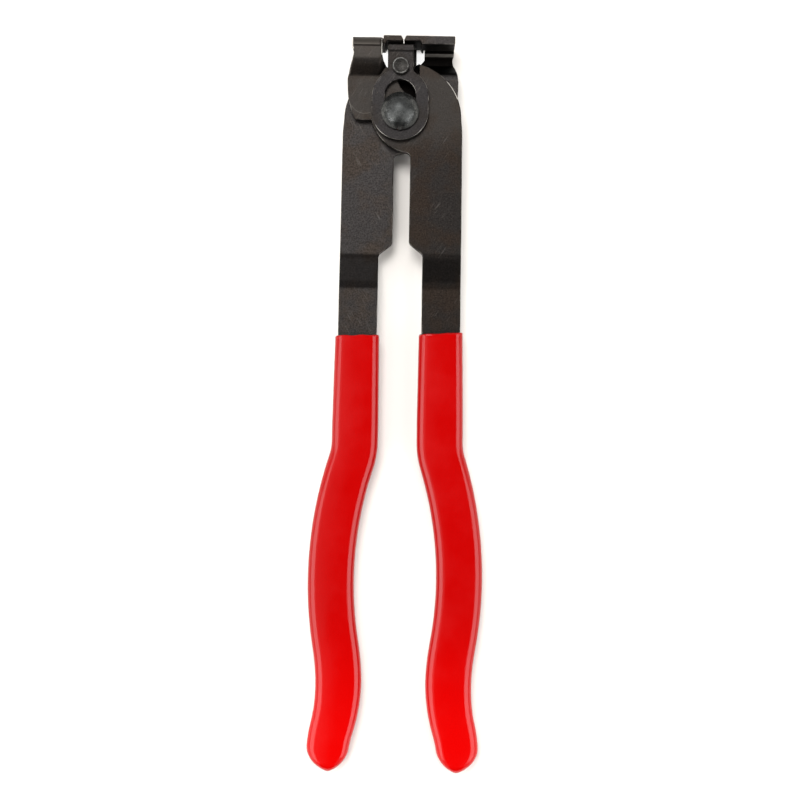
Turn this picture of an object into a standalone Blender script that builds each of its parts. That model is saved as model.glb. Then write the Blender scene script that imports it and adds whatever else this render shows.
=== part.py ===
"""Ear clamp pliers, a hand tool that squeezes the ear of a hose clamp.

Two pressed plate levers cross on one domed rivet. Each ends in a jaw that steps away from the other
lever and then folds back across the tool. A slotted presser slides on the rivet between the jaws, led by
a roller in the levers' notches. The arms carry vinyl-dipped grips.

X is to the right, Y towards the jaw tips and +Z out of the domed side. The origin is on the rivet's axis,
at the flat end of its tail. The levers are at rest with the jaws closed.
"""

import math

import bmesh
import bpy
from mathutils import Vector

MM = 0.001

# Plate, running clearance and pressed edges
PLATE = 2.8 * MM
CLEARANCE = 0.3 * MM
EDGE_CHAMFER = 0.28 * MM
BEND_RADIUS = 2.4 * MM
OVERRUN = 1.5 * MM

# Motion: each lever opens by this angle while the presser draws back by its travel
OPEN_ANGLE = math.radians(13)
PRESSER_TRAVEL = 3.2 * MM

# The levers lie evenly about a line that passes this far to the right of the rivet
LEVER_OFFSET = 0.9 * MM

# Main rivet and washer: dome, tail and washer reach past the slot that the shank passes through
SHANK_RADIUS = 4.85 * MM
SLOT_RADIUS = SHANK_RADIUS + CLEARANCE
DOME_LAND = 1.15 * MM
DOME_RADIUS = SLOT_RADIUS + DOME_LAND
DOME_HEIGHT = 4.5 * MM
DOME_RIM = 0.7 * MM
DOME_POWER = 1.7
WASHER_LAND = 2.25 * MM
WASHER_RADIUS = SLOT_RADIUS + WASHER_LAND
WASHER_THICKNESS = 1.2 * MM
TAIL_LAND = 0.75 * MM
TAIL_RADIUS = SLOT_RADIUS + TAIL_LAND
TAIL_TAPER = 1.7 * MM
TAIL_HEIGHT = 1.3 * MM

# Small rivet that joins the two presser plates, and the roller that turns on it
SMALL_SHANK_RADIUS = 1.5 * MM
SMALL_HOLE_RADIUS = SMALL_SHANK_RADIUS + CLEARANCE
SMALL_HEAD_LAND = 1.0 * MM
SMALL_HEAD_RADIUS = SMALL_HOLE_RADIUS + SMALL_HEAD_LAND
SMALL_HEAD_HEIGHT = 1.4 * MM
SMALL_HEAD_RIM = 0.35 * MM
SMALL_TAIL_LAND = 0.6 * MM
SMALL_TAIL_RADIUS = SMALL_HOLE_RADIUS + SMALL_TAIL_LAND
SMALL_TAIL_HEIGHT = 0.9 * MM
ROLLER_WALL = 1.5 * MM
ROLLER_RADIUS = SMALL_HOLE_RADIUS + ROLLER_WALL

# Presser: its slot takes the travel and some spare, then follow the roller and the folded foot
PRESSER_PLATE = 1.8 * MM
SLOT_SPARE = 1.7 * MM
SLOT_LENGTH = PRESSER_TRAVEL + SLOT_SPARE
SLOT_HEADROOM = 0.67 * MM
RING_BAND = 4.41 * MM
RING_RADIUS = SLOT_RADIUS + RING_BAND
NECK_WIDTH = 8.7 * MM
BACK_NECK_SHOW = 0.65 * MM
NECK_CORNER_RADIUS = 1.6 * MM
SLOT_WEB = 2.58 * MM
ROLLER_REACH = SLOT_LENGTH + SLOT_HEADROOM + SLOT_RADIUS + SLOT_WEB + SMALL_HOLE_RADIUS
FOOT_GAP = 2.6 * MM
FOOT_BEND_RADIUS = 1.6 * MM
PRESSER_REACH = ROLLER_REACH + ROLLER_RADIUS + FOOT_GAP + PRESSER_PLATE

# Jaw: the tab steps outwards beside the ring, runs flat, then folds 90 degrees into the flange.
# Its finger reaches in over the presser's foot.
FINGER_GAP = 0.5 * MM
FINGER_UNDERSIDE = PRESSER_REACH + FINGER_GAP
FINGER_THICKNESS = 1.7 * MM
JAW_REACH = FINGER_UNDERSIDE + FINGER_THICKNESS
JAW_HALF_WIDTH = 18.7 * MM
JAW_STEP_UP = 7.0 * MM
JAW_STEP_START = SLOT_LENGTH + JAW_STEP_UP
JAW_STEP_RISE = 4.2 * MM
JAW_STEP_ANGLE = math.radians(50)
TAB_GAP = 2.8 * MM
TAB_INNER = NECK_WIDTH / 2 + TAB_GAP
RELIEF_SLIT = 0.4 * MM
FINGER_ROOT_STEP = 0.95 * MM
FINGER_ROOT = TAB_INNER - FINGER_ROOT_STEP
TIP_BEVEL = 0.85 * MM
TAB_EDGE_SHARES = (
    (0.845, -0.108),
    (0.915, -0.010),
    (0.979, 0.172),
    (1.000, 0.360),
    (0.993, 0.490),
    (0.918, 0.672),
    (0.893, 0.770),
    (0.920, 0.845),
)
FLANGE_WIDTH_SHARE = 0.92

# Close to the notch the jaw's step is drawn upwards, so that the plate stays flat under the presser
DRAWN_INSET = 1.96 * MM
DRAWN_START = RING_RADIUS - DRAWN_INSET
DRAWN_PAST_NECK = 0.45 * MM
DRAWN_END = NECK_WIDTH / 2 + DRAWN_PAST_NECK
DRAWN_PAST_RING = 0.64 * MM
DRAWN_RISE = SLOT_LENGTH + RING_RADIUS + DRAWN_PAST_RING - JAW_STEP_START
DRAWN_COLUMNS = 5

# Notch between shoulder and tab. Its floor runs out of the cam ramp in a wide arc and slopes to the wall.
# Its lip and throat are set off from the presser's neck and the roller.
NOTCH_FLOOR_RADIUS = 6.5 * MM
NOTCH_FLOOR_SLOPE = math.radians(22)
NOTCH_RADIUS = 1.9 * MM
LIP_OUT = 0.05 * MM
LIP_UP = 0.1 * MM
THROAT_OUT = 1.45 * MM
THROAT_UP = 1.5 * MM
NOTCH_TOP_UP = 4.2 * MM
RAMP_OVERTRAVEL = math.radians(3)

# Blades, as distances from the levers' line
BLADE_OUTER = 20.2 * MM
BLADE_INNER = 2.8 * MM
GAP_CORNER_RADIUS = 1.7 * MM
BLADE_BOTTOM = -44.2 * MM
BLADE_CORNER_RADIUS = 2.0 * MM

# Head: the round shoulder that runs into the blade, the curve under the jaw tab and the tab's foot
SHOULDER_RADIUS = 18.9 * MM
SHOULDER_SETBACK = 0.4 * MM
SHOULDER_X = BLADE_OUTER - SHOULDER_SETBACK - SHOULDER_RADIUS
SHOULDER_Y = -2.0 * MM
SHOULDER_CORNER_RADIUS = 0.9 * MM
SHOULDER_DROP = 4.5 * MM
BLADE_TOP = SHOULDER_Y - SHOULDER_DROP
CHIN_RADIUS = 14.9 * MM
CHIN_X = 4.0 * MM
CHIN_Y = 1.0 * MM
TAB_FOOT_RADIUS = 1.3 * MM

# Arms: below the blade's slanted corner they step to the middle of the tool
ARM_WIDTH = 13.1 * MM
CHAMFER_DROP = 3.6 * MM
CHAMFER_BOTTOM = BLADE_BOTTOM - CHAMFER_DROP
ARM_STEP_DROP = 0.9 * MM
ARM_STEP_START = CHAMFER_BOTTOM - ARM_STEP_DROP
ARM_STEP_ANGLE = math.radians(12)
ARM_STEP_RADIUS = 6.0 * MM
ARM_STEP_ROOM = 11.3 * MM
ARM_START = ARM_STEP_START - ARM_STEP_ROOM

# Handle centreline: straight, a quick bend out, then long sweeps in, out and to a round end
ARM_OUTSET = 0.37 * MM
HANDLE_X = BLADE_OUTER + ARM_OUTSET - ARM_WIDTH / 2
HANDLE_LEAN = math.radians(0.37)
HANDLE_STRAIGHT = 51.0 * MM
ELBOW_RADIUS = 24.0 * MM
ELBOW_ANGLE = math.radians(17.3)
BELLY_RADIUS = 132.0 * MM
WAIST_APPROACH_RADIUS = 125.0 * MM
WAIST_ANGLE = math.radians(8.95)
WAIST_STRAIGHT = 4.0 * MM
WAIST_RADIUS = 80.0 * MM
FLARE_RADIUS = 63.0 * MM
FLARE_ANGLE = math.radians(13.2)
HANDLE_TAIL = 6.2 * MM
HANDLE_TAIL_ANGLE = math.radians(9)
HANDLE_STEP = 4.5 * MM

# Grips: vinyl walls round the arm, a little wider past the top
BARE_ARM = 15.0 * MM
GRIP_TOP = ARM_START - BARE_ARM
GRIP_WALL = 0.9 * MM
GRIP_TOP_WIDTH = ARM_WIDTH + 2 * GRIP_WALL
GRIP_SWELL = 0.8 * MM
GRIP_WIDTH = GRIP_TOP_WIDTH + GRIP_SWELL
GRIP_WIDENING = 30.0 * MM
GRIP_FACE_WALL = 2.0 * MM
GRIP_THICKNESS = PLATE + 2 * GRIP_FACE_WALL
GRIP_EDGE_RADIUS = 2.9 * MM
GRIP_LIP_RADIUS = 0.6 * MM
GRIP_END_WALL = 2.0 * MM
DRIP_RADIUS = 1.5 * MM
DRIP_LENGTH = 0.5 * MM

# Facets
ARC_STEP = math.radians(12)
BEND_STEP = math.radians(15)
TURNED_SIDES = 40
EDGE_SIDES = 4
END_STATIONS = 7
ROUNDING_SHARE = 0.45

# Heights, measured from the middle of the tool and then from the tail's face
LEVER_FACE = CLEARANCE / 2 + PLATE
PRESSER_FACE = LEVER_FACE + CLEARANCE + PRESSER_PLATE
TAIL_SEAT = PRESSER_FACE + CLEARANCE + WASHER_THICKNESS + CLEARANCE
MIDDLE = TAIL_SEAT + TAIL_HEIGHT
JAW_FACE = LEVER_FACE + JAW_STEP_RISE


def material(name, colour, roughness, metallic):
    """One plain finish, made once and shared."""
    made = bpy.data.materials.get(name)
    if made is None:
        made = bpy.data.materials.new(name)
        made.use_nodes = True
        shader = made.node_tree.nodes["Principled BSDF"]
        shader.inputs["Base Color"].default_value = (*colour, 1.0)
        shader.inputs["Roughness"].default_value = roughness
        shader.inputs["Metallic"].default_value = metallic
        made.diffuse_color = (*colour, 1.0)
    return made


def black_oxide():
    return material("black_oxide_steel", (0.045, 0.041, 0.038), 0.48, 0.75)


def presser_oxide():
    return material("presser_oxide_steel", (0.058, 0.057, 0.057), 0.44, 0.75)


def turned_oxide():
    return material("turned_oxide_steel", (0.065, 0.070, 0.074), 0.32, 0.85)


def red_vinyl():
    return material("red_vinyl", (0.62, 0.012, 0.014), 0.28, 0.0)


def object_from(bm, name, finish):
    """Turns a finished mesh into a named object at the tool's middle height, smooth where it is round."""
    bmesh.ops.remove_doubles(bm, verts=bm.verts, dist=EDGE_CHAMFER / 100)
    bmesh.ops.recalc_face_normals(bm, faces=bm.faces)
    mesh = bpy.data.meshes.new(name)
    bm.to_mesh(mesh)
    bm.free()
    mesh.shade_smooth()
    mesh.set_sharp_from_angle(angle=math.radians(30))
    if finish:
        mesh.materials.append(finish)
    piece = bpy.data.objects.new(name, mesh)
    piece.location.z = MIDDLE
    bpy.context.collection.objects.link(piece)
    return piece


def cutter_from(bm, name):
    cutter = object_from(bm, name, None)
    cutter.hide_render = True
    cutter.display_type = "WIRE"
    return cutter


def cut(piece, cutters):
    for cutter in cutters:
        boolean = piece.modifiers.new(cutter.name, "BOOLEAN")
        boolean.operation = "DIFFERENCE"
        boolean.solver = "EXACT"
        boolean.object = cutter


def arc(centre, radius, start, end, step=ARC_STEP):
    """Points along an arc, from one angle to another, both ends included."""
    count = max(2, math.ceil(abs(end - start) / step))
    angles = [start + (end - start) * i / count for i in range(count + 1)]
    return [(centre[0] + radius * math.cos(a), centre[1] + radius * math.sin(a)) for a in angles]


def rounded(before, corner, after, radius):
    """Points of the arc that rounds a corner of an outline, as far as its shorter side allows."""
    corner = Vector(corner)
    sides = [Vector(before) - corner, Vector(after) - corner]
    back, ahead = [side.normalized() for side in sides]
    half = back.angle(ahead) / 2
    reach = min(radius / math.tan(half), ROUNDING_SHARE * min(side.length for side in sides))
    radius = reach * math.tan(half)
    centre = corner + (back + ahead).normalized() * (radius / math.sin(half))
    first, last = corner + back * reach - centre, corner + ahead * reach - centre
    turn = math.copysign(math.pi - 2 * half, first.cross(last))
    start = math.atan2(first.y, first.x)
    return arc(centre, radius, start, start + turn, ARC_STEP * 2)


def smooth_through(points, parts=3):
    """A Catmull-Rom curve through the points, which keeps both ends."""
    padded = [points[0], *points, points[-1]]
    curve = []
    for a, b, c, d in zip(padded, padded[1:], padded[2:], padded[3:]):
        for i in range(parts):
            t = i / parts
            weights = (
                (-t + 2 * t**2 - t**3) / 2,
                (2 - 5 * t**2 + 3 * t**3) / 2,
                (t + 4 * t**2 - 3 * t**3) / 2,
                (t**3 - t**2) / 2,
            )
            curve.append(tuple(sum(w * p[k] for w, p in zip(weights, (a, b, c, d))) for k in (0, 1)))
    return [*curve, points[-1]]


def inset(outline, distance):
    """The outline moved inwards by a distance, or outwards where it is negative, corner by corner."""
    moved = []
    for i, point in enumerate(outline):
        here = Vector(point)
        along = (here - Vector(outline[i - 1])).normalized()
        onward = (Vector(outline[(i + 1) % len(outline)]) - here).normalized()
        left = Vector((-along.y - onward.y, along.x + onward.x)) / (1 + along.dot(onward))
        moved.append(tuple(here + left * distance))
    return moved


def layered(outline, layers):
    """A closed solid through copies of one outline, each at its height and with its own inset."""
    bm = bmesh.new()
    rings = [[bm.verts.new((*p, z)) for p in inset(outline, inward)] for z, inward in layers]
    for low, high in zip(rings, rings[1:]):
        for i in range(len(outline)):
            bm.faces.new((low[i - 1], low[i], high[i], high[i - 1]))
    bm.faces.new(reversed(rings[0]))
    bm.faces.new(rings[-1])
    return bm


def plate_layers(thickness):
    """A pressed plate about its middle surface, with both edges chamfered."""
    half = thickness / 2
    return [(-half, EDGE_CHAMFER), (EDGE_CHAMFER - half, 0), (half - EDGE_CHAMFER, 0), (half, EDGE_CHAMFER)]


def turned(profile, centre_y=0.0, sides=TURNED_SIDES):
    """A solid of revolution from (radius, height) points. One that starts off the axis is a ring."""
    bm = bmesh.new()
    verts = [bm.verts.new((radius, centre_y, height)) for radius, height in profile]
    pairs = list(zip(verts, verts[1:]))
    if profile[0][0] > 0:
        pairs.append((verts[-1], verts[0]))
    edges = [bm.edges.new(pair) for pair in pairs]
    bmesh.ops.spin(
        bm,
        geom=verts + edges,
        cent=(0, centre_y, 0),
        axis=(0, 0, 1),
        angle=math.tau,
        steps=sides,
        use_merge=True,
    )
    return bm


class Fold:
    """The middle surface of a bent sheet, as flat facets between straight fold lines.

    It starts as a flat run up to the first bend. Each line holds its developed place, where it lies once
    bent, the mitre that the sheet's two faces follow there, and how far it is drawn along by the notch.
    """

    def __init__(self, start, heading, run, steps, drawn=()):
        self.start, self.heading = start, heading
        points, angle = [Vector((-run, 0)), Vector((0, 0))], 0.0
        for length, turn, radius in steps:
            count = max(1, math.ceil(abs(turn) / BEND_STEP))
            chord = length or 2 * radius * math.sin(abs(turn) / count / 2)
            for _ in range(count):
                angle += turn / count / 2
                points.append(points[-1] + chord * Vector((math.cos(angle), math.sin(angle))))
                angle += turn / count / 2
        along = [(b - a).normalized() for a, b in zip(points, points[1:])]
        self.lines, developed = [], -run
        for i, point in enumerate(points):
            before, after = along[max(i - 1, 0)], along[min(i, len(along) - 1)]
            mitre = Vector((-before.y - after.y, before.x + after.x)) / (1 + before.dot(after))
            draw = drawn[i] if i < len(drawn) else 0.0
            self.lines.append((developed, point, mitre, draw))
            if i < len(along):
                developed += (points[i + 1] - point).length

    def between(self, wanted, measure):
        """The two fold lines on either side of a value, and the share of the way between them."""
        least = EDGE_CHAMFER / 100
        pairs = zip(self.lines, self.lines[1:])
        pairs = [pair for pair in pairs if measure(pair[1]) - measure(pair[0]) > least]
        low, high = next((pair for pair in pairs if wanted <= measure(pair[1])), pairs[-1])
        return low, high, (wanted - measure(low)) / (measure(high) - measure(low))

    def place(self, developed, across, draw=0.0):
        """Where a point of the flat blank goes: its place along the tool and its height."""
        low, high, share = self.between((developed - self.start) * self.heading, lambda line: line[0])
        ends = [line[1] + Vector((draw * line[3], 0)) + line[2] * across for line in (low, high)]
        spot = ends[0].lerp(ends[1], share)
        return self.start + spot.x * self.heading, spot.y

    def unfold(self, reach, draw=0.0):
        """The developed place of a point that lies at this reach along the tool once it is bent."""
        wanted = (reach - self.start) * self.heading
        low, high, share = self.between(wanted, lambda line: line[1].x + draw * line[3])
        return self.start + (low[0] + (high[0] - low[0]) * share) * self.heading

    def places(self):
        """The developed places of the fold lines."""
        return [self.start + line[0] * self.heading for line in self.lines]


def slope_length(rise, angle, radius):
    """Length of the straight slope between the two bends of a step."""
    return (rise - 2 * radius * (1 - math.cos(angle))) / math.sin(angle)


def jaw_fold():
    """The jaw's step, its flat and the 90 degree bend into the flange, from the flat run of the head."""
    slope = slope_length(JAW_STEP_RISE, JAW_STEP_ANGLE, BEND_RADIUS)
    bends = 2 * BEND_RADIUS * math.sin(JAW_STEP_ANGLE)
    step_end = JAW_STEP_START + bends + slope * math.cos(JAW_STEP_ANGLE)
    flat = JAW_REACH - PLATE / 2 - BEND_RADIUS - step_end
    last = 2 * math.ceil(JAW_STEP_ANGLE / BEND_STEP) + 1
    drawn = [0.0] + [DRAWN_RISE + (flat / 2 - DRAWN_RISE) * i / last for i in range(last + 1)]
    steps = [
        (0, JAW_STEP_ANGLE, BEND_RADIUS),
        (slope, 0, 0),
        (0, -JAW_STEP_ANGLE, BEND_RADIUS),
        (flat, 0, 0),
        (0, -math.pi / 2, BEND_RADIUS),
        (flange_drop(), 0, 0),
    ]
    return Fold(JAW_STEP_START, 1, JAW_STEP_START, steps, drawn)


def flange_drop():
    """Length of the flange from the end of its bend to its free edge at the far side of the tool."""
    return LEVER_FACE - PLATE / 2 + JAW_STEP_RISE - BEND_RADIUS + JAW_FACE


def arm_fold():
    """The arm's shallow step from the blade to the middle of the tool."""
    drop = LEVER_FACE - PLATE / 2
    slope = slope_length(drop, ARM_STEP_ANGLE, ARM_STEP_RADIUS)
    steps = [
        (0, -ARM_STEP_ANGLE, ARM_STEP_RADIUS),
        (slope, 0, 0),
        (0, ARM_STEP_ANGLE, ARM_STEP_RADIUS),
        (HANDLE_STRAIGHT, 0, 0),
    ]
    return Fold(ARM_STEP_START, -1, ARM_STEP_RADIUS, steps)


def drawn_share(x):
    """How far the jaw's step is drawn along at this place across the lever, from none at the tab to all."""
    t = min(max((x + DRAWN_START) / (DRAWN_START - DRAWN_END), 0.0), 1.0)
    return t * t * (3 - 2 * t)


def handle_sweeps():
    """The handle's centreline as (length, turn) pieces, from the arm's start to the round end's centre."""
    return [
        (HANDLE_STRAIGHT, 0),
        (ELBOW_RADIUS * ELBOW_ANGLE, ELBOW_ANGLE),
        (BELLY_RADIUS * (ELBOW_ANGLE + HANDLE_LEAN), -ELBOW_ANGLE - HANDLE_LEAN),
        (WAIST_APPROACH_RADIUS * WAIST_ANGLE, -WAIST_ANGLE),
        (WAIST_STRAIGHT, 0),
        (WAIST_RADIUS * WAIST_ANGLE, WAIST_ANGLE),
        (FLARE_RADIUS * FLARE_ANGLE, FLARE_ANGLE),
        (HANDLE_TAIL, -HANDLE_TAIL_ANGLE),
    ]


def handle_length():
    return sum(length for length, _ in handle_sweeps())


def along_handle(distance):
    """A point of the handle's centreline and the unit vector to its outer side there."""
    place, heading = Vector((HANDLE_X, ARM_START)), HANDLE_LEAN
    for length, turn in handle_sweeps():
        part = min(distance, length)
        swept = turn * part / length
        chord = part if turn == 0 else 2 * length / turn * math.sin(swept / 2)
        middle = heading + swept / 2
        place = place + chord * Vector((math.sin(middle), -math.cos(middle)))
        heading += swept
        distance -= part
        if distance <= 0:
            break
    return place, Vector((math.cos(heading), math.sin(heading)))


def arm_outline(begin, half_width):
    """The arm's two long sides and round end, from its inner side round to its outer side."""
    end = handle_length() - GRIP_END_WALL
    count = math.ceil((end - begin) / HANDLE_STEP)
    spots = [along_handle(begin + (end - begin) * i / count) for i in range(count + 1)]
    inner = [tuple(place - out * half_width) for place, out in spots]
    outer = [tuple(place + out * half_width) for place, out in reversed(spots)]
    place, out = spots[-1]
    facing = math.atan2(out.y, out.x)
    return inner + arc(place, half_width, facing - math.pi, facing)[1:-1] + outer


def ramp(angle):
    """A point of the cam ramp and its direction: the roller's path in the turning lever, moved out."""
    pull = PRESSER_TRAVEL / OPEN_ANGLE
    reach = ROLLER_REACH - pull * angle
    centre = Vector((math.sin(angle), math.cos(angle))) * reach
    onward = Vector((math.cos(angle), -math.sin(angle))) * reach - centre.normalized() * pull
    side = Vector((onward.y, -onward.x)).normalized()
    return centre + side * (ROLLER_RADIUS + CLEARANCE), onward.normalized()


def notch_wall():
    """The notch's straight wall clears the roller where the lever is fully open."""
    return (ROLLER_REACH - PRESSER_TRAVEL) * math.sin(OPEN_ANGLE) + ROLLER_RADIUS + CLEARANCE


def notch_floor():
    """The arc that leads from the notch's sloping floor up into the low end of the cam ramp."""
    low, onward = ramp(OPEN_ANGLE + RAMP_OVERTRAVEL)
    centre = low + Vector((-onward.y, onward.x)) * NOTCH_FLOOR_RADIUS
    lowest = math.pi * 1.5 - NOTCH_FLOOR_SLOPE
    return arc(centre, NOTCH_FLOOR_RADIUS, lowest, math.pi + math.atan2(onward.x, -onward.y))


def shifted(points, offset):
    return [(x + offset, y) for x, y in points]


def lever_outline(offset):
    """The lever's blank, anticlockwise, its jaw at -X. The offset moves it sideways on the rivet."""
    jaw, arm = jaw_fold(), arm_fold()
    inner, wall = BLADE_INNER + offset, notch_wall()

    # Inner edge of the blade, from the gap's rounded top down to the arm
    chin = Vector((CHIN_X + offset, CHIN_Y))
    gap_top = chin.y - math.sqrt(CHIN_RADIUS**2 - (inner - chin.x) ** 2)
    foot = (TAB_EDGE_SHARES[0][0] * -JAW_HALF_WIDTH + offset, TAB_EDGE_SHARES[0][1] * JAW_REACH)
    chin_from = math.pi + math.asin((chin.y - foot[1]) / CHIN_RADIUS)
    chin_to = math.pi * 1.5 - math.asin((chin.x - inner + 2 * GAP_CORNER_RADIUS) / CHIN_RADIUS)
    chin_arc = arc(chin, CHIN_RADIUS, chin_from, chin_to)
    arm_side = shifted(arm_outline(0, ARM_WIDTH / 2), offset)
    step_top, step_bottom = (inner, BLADE_BOTTOM), (arm_side[0][0], CHAMFER_BOTTOM)
    edge = rounded(chin_arc[-1], (inner, gap_top), step_top, GAP_CORNER_RADIUS)
    edge += rounded((inner, gap_top), step_top, step_bottom, BLADE_CORNER_RADIUS)
    edge += rounded(step_top, step_bottom, arm_side[0], BLADE_CORNER_RADIUS)
    edge += arm_side

    # Outer edge of the blade, and the shoulder round to the notch
    edge.append((BLADE_OUTER + offset, BLADE_TOP))
    shoulder = Vector((SHOULDER_X + offset, SHOULDER_Y))
    crest = Vector((wall, shoulder.y + math.sqrt(SHOULDER_RADIUS**2 - (wall - shoulder.x) ** 2)))
    last = math.acos((wall + 2 * SHOULDER_CORNER_RADIUS - shoulder.x) / SHOULDER_RADIUS)
    shoulder_arc = arc(shoulder, SHOULDER_RADIUS, 0, last)
    edge += shoulder_arc
    floor = notch_floor()
    toe = (wall, floor[0][1] - (wall - floor[0][0]) * math.tan(NOTCH_FLOOR_SLOPE))
    edge += rounded(shoulder_arc[-1], crest, toe, SHOULDER_CORNER_RADIUS)

    # Notch: straight wall, sloping floor, cam ramp and the lip beside the presser's neck
    edge += rounded(crest, toe, floor[0], NOTCH_RADIUS) + floor[:-1]
    count = math.ceil((OPEN_ANGLE + 2 * RAMP_OVERTRAVEL) / ARC_STEP * 3)
    for i in range(count + 1):
        angle = OPEN_ANGLE + RAMP_OVERTRAVEL - (OPEN_ANGLE + 2 * RAMP_OVERTRAVEL) * i / count
        edge.append(tuple(ramp(angle)[0]))
    tab_inner = offset - TAB_INNER
    lip = (-NECK_WIDTH / 2 - LIP_OUT, ROLLER_REACH + LIP_UP)
    throat = (-NECK_WIDTH / 2 - THROAT_OUT, ROLLER_REACH + THROAT_UP)
    edge += smooth_through([lip, throat, (tab_inner, ROLLER_REACH + NOTCH_TOP_UP)])
    bent = [(x, unfolded(jaw, arm, x, y)) for x, y in edge]

    # Tab and flange. The finger lies beyond a slit, so it stays flat while the tab beside it bends.
    bend_end, free_edge = jaw.places()[-2:]
    finger_edge = bend_end - PLATE / 2 - BEND_RADIUS
    flange_end = offset - FLANGE_WIDTH_SHARE * JAW_HALF_WIDTH
    bent += [
        (tab_inner, bend_end + RELIEF_SLIT),
        (tab_inner + RELIEF_SLIT, bend_end + RELIEF_SLIT),
        (tab_inner + RELIEF_SLIT, finger_edge),
        (offset, finger_edge),
        (offset, free_edge),
        (flange_end, free_edge),
    ]
    tab_edge = [(offset - x * JAW_HALF_WIDTH, y * JAW_REACH) for x, y in reversed(TAB_EDGE_SHARES)]
    tab_side = smooth_through(tab_edge[:-1])
    tab_side += rounded(tab_edge[-2], foot, chin_arc[0], TAB_FOOT_RADIUS)
    bent += [(x, unfolded(jaw, arm, x, y)) for x, y in tab_side]
    return bent + chin_arc


def unfolded(jaw, arm, x, y):
    """The developed place of a point of the finished lever, seen from the front."""
    if y < ARM_STEP_START:
        return arm.unfold(y)
    if y > 0 > x:
        return jaw.unfold(y, drawn_share(x))
    return y


def score(bm, at, axis):
    """Adds a line of edges across the blank, where it will bend."""
    point = Vector((0, 0, 0))
    point[axis] = at
    normal = Vector((0, 0, 0))
    normal[axis] = 1.0
    geometry = [*bm.verts, *bm.edges, *bm.faces]
    least = EDGE_CHAMFER / 1000
    bmesh.ops.bisect_plane(bm, geom=geometry, dist=least, plane_co=point, plane_no=normal)


def lever(name, side):
    """One pressed lever. The back one is the same pressing turned over about the tool's long line."""
    offset = side * LEVER_OFFSET
    jaw, arm = jaw_fold(), arm_fold()
    bm = layered(lever_outline(offset), plate_layers(PLATE))
    for i in range(DRAWN_COLUMNS + 1):
        score(bm, (DRAWN_END - DRAWN_START) * i / DRAWN_COLUMNS - DRAWN_END, 0)
    for at in jaw.places()[1:-1] + arm.places()[1:-1]:
        score(bm, at, 1)
    bend_end = jaw.places()[-2]
    slit = offset - TAB_INNER + RELIEF_SLIT / 2
    level = LEVER_FACE - PLATE / 2
    for vert in bm.verts:
        x, y, across = vert.co
        height = across
        if y > bend_end - PLATE - BEND_RADIUS and x > slit:
            vert.co.y = JAW_REACH - PLATE / 2 + across
            height = JAW_STEP_RISE - BEND_RADIUS - (y - bend_end)
        elif y > 0 > x:
            vert.co.y, height = jaw.place(y, across, drawn_share(x))
        elif y < ARM_STEP_START:
            vert.co.y, height = arm.place(y, across)
        vert.co.z = level + height
    piece = object_from(bm, name, black_oxide())
    cutters = [rivet_hole(name + "_rivet_hole"), finger_cutter(name + "_finger_cutter", offset)]
    cut(piece, cutters)
    for turned_piece in (piece, *cutters):
        turned_piece.rotation_euler.y = 0 if side > 0 else math.pi


def rivet_hole(name):
    reach = LEVER_FACE + OVERRUN
    profile = [(0, reach), (SLOT_RADIUS, reach), (SLOT_RADIUS, -reach), (0, -reach)]
    return cutter_from(turned(profile), name)


def finger_cutter(name, offset):
    """Thins the finger from below and bevels its tip, right across the tool."""
    below, above = JAW_REACH - PLATE - OVERRUN, JAW_REACH + OVERRUN
    lean = TIP_BEVEL / FINGER_THICKNESS
    tip = -CLEARANCE / 2
    outline = [
        (-FINGER_ROOT, below),
        (OVERRUN, below),
        (OVERRUN, above),
        (tip - lean * (above - FINGER_UNDERSIDE), above),
        (tip, FINGER_UNDERSIDE),
        (-FINGER_ROOT, FINGER_UNDERSIDE),
    ]
    reach = JAW_FACE + OVERRUN
    return cutter_from(layered(shifted(outline, offset), [(-reach, 0), (reach, 0)]), name)


def ring_outline(half):
    """One half of the key-shaped plate's ring, from its foot up to where the neck's fillet ends."""
    fillet = NECK_CORNER_RADIUS
    centre_x = half + fillet
    centre_y = SLOT_LENGTH + math.sqrt((RING_RADIUS + fillet) ** 2 - centre_x**2)
    meet = math.atan2(centre_y - SLOT_LENGTH, centre_x)
    side = arc((0, 0), RING_RADIUS, -math.pi / 2, 0) + arc((0, SLOT_LENGTH), RING_RADIUS, 0, meet)
    return side + arc((centre_x, centre_y), fillet, meet + math.pi, math.pi, ARC_STEP * 2)[1:]


def presser_outline(top, show=0.0):
    """The key-shaped plate, anticlockwise. Its neck may show past the other plate's right side."""
    half = NECK_WIDTH / 2
    left = [*ring_outline(half), (half, top)]
    return [*ring_outline(half + show), (half + show, top)] + [(-x, y) for x, y in reversed(left[1:])]


def presser_cutters(name, level):
    """The slot round the main rivet, with its edges eased, and the hole for the small rivet."""
    slot_top = SLOT_LENGTH + SLOT_HEADROOM
    right = arc((0, 0), SLOT_RADIUS, -math.pi / 2, 0)
    right += arc((0, slot_top), SLOT_RADIUS, 0, math.pi / 2)
    slot = right + [(-x, y) for x, y in reversed(right[1:-1])]
    half, flare = PRESSER_PLATE / 2, EDGE_CHAMFER + OVERRUN
    layers = [
        (level - half - OVERRUN, -flare),
        (level - half + EDGE_CHAMFER, 0),
        (level + half - EDGE_CHAMFER, 0),
        (level + half + OVERRUN, -flare),
    ]
    top, bottom = level + half + OVERRUN, level - half - OVERRUN
    hole = [(0, top), (SMALL_HOLE_RADIUS, top), (SMALL_HOLE_RADIUS, bottom), (0, bottom)]
    return [
        cutter_from(layered(slot, layers), name + "_slot_cutter"),
        cutter_from(turned(hole, ROLLER_REACH), name + "_hole_cutter"),
    ]


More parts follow.
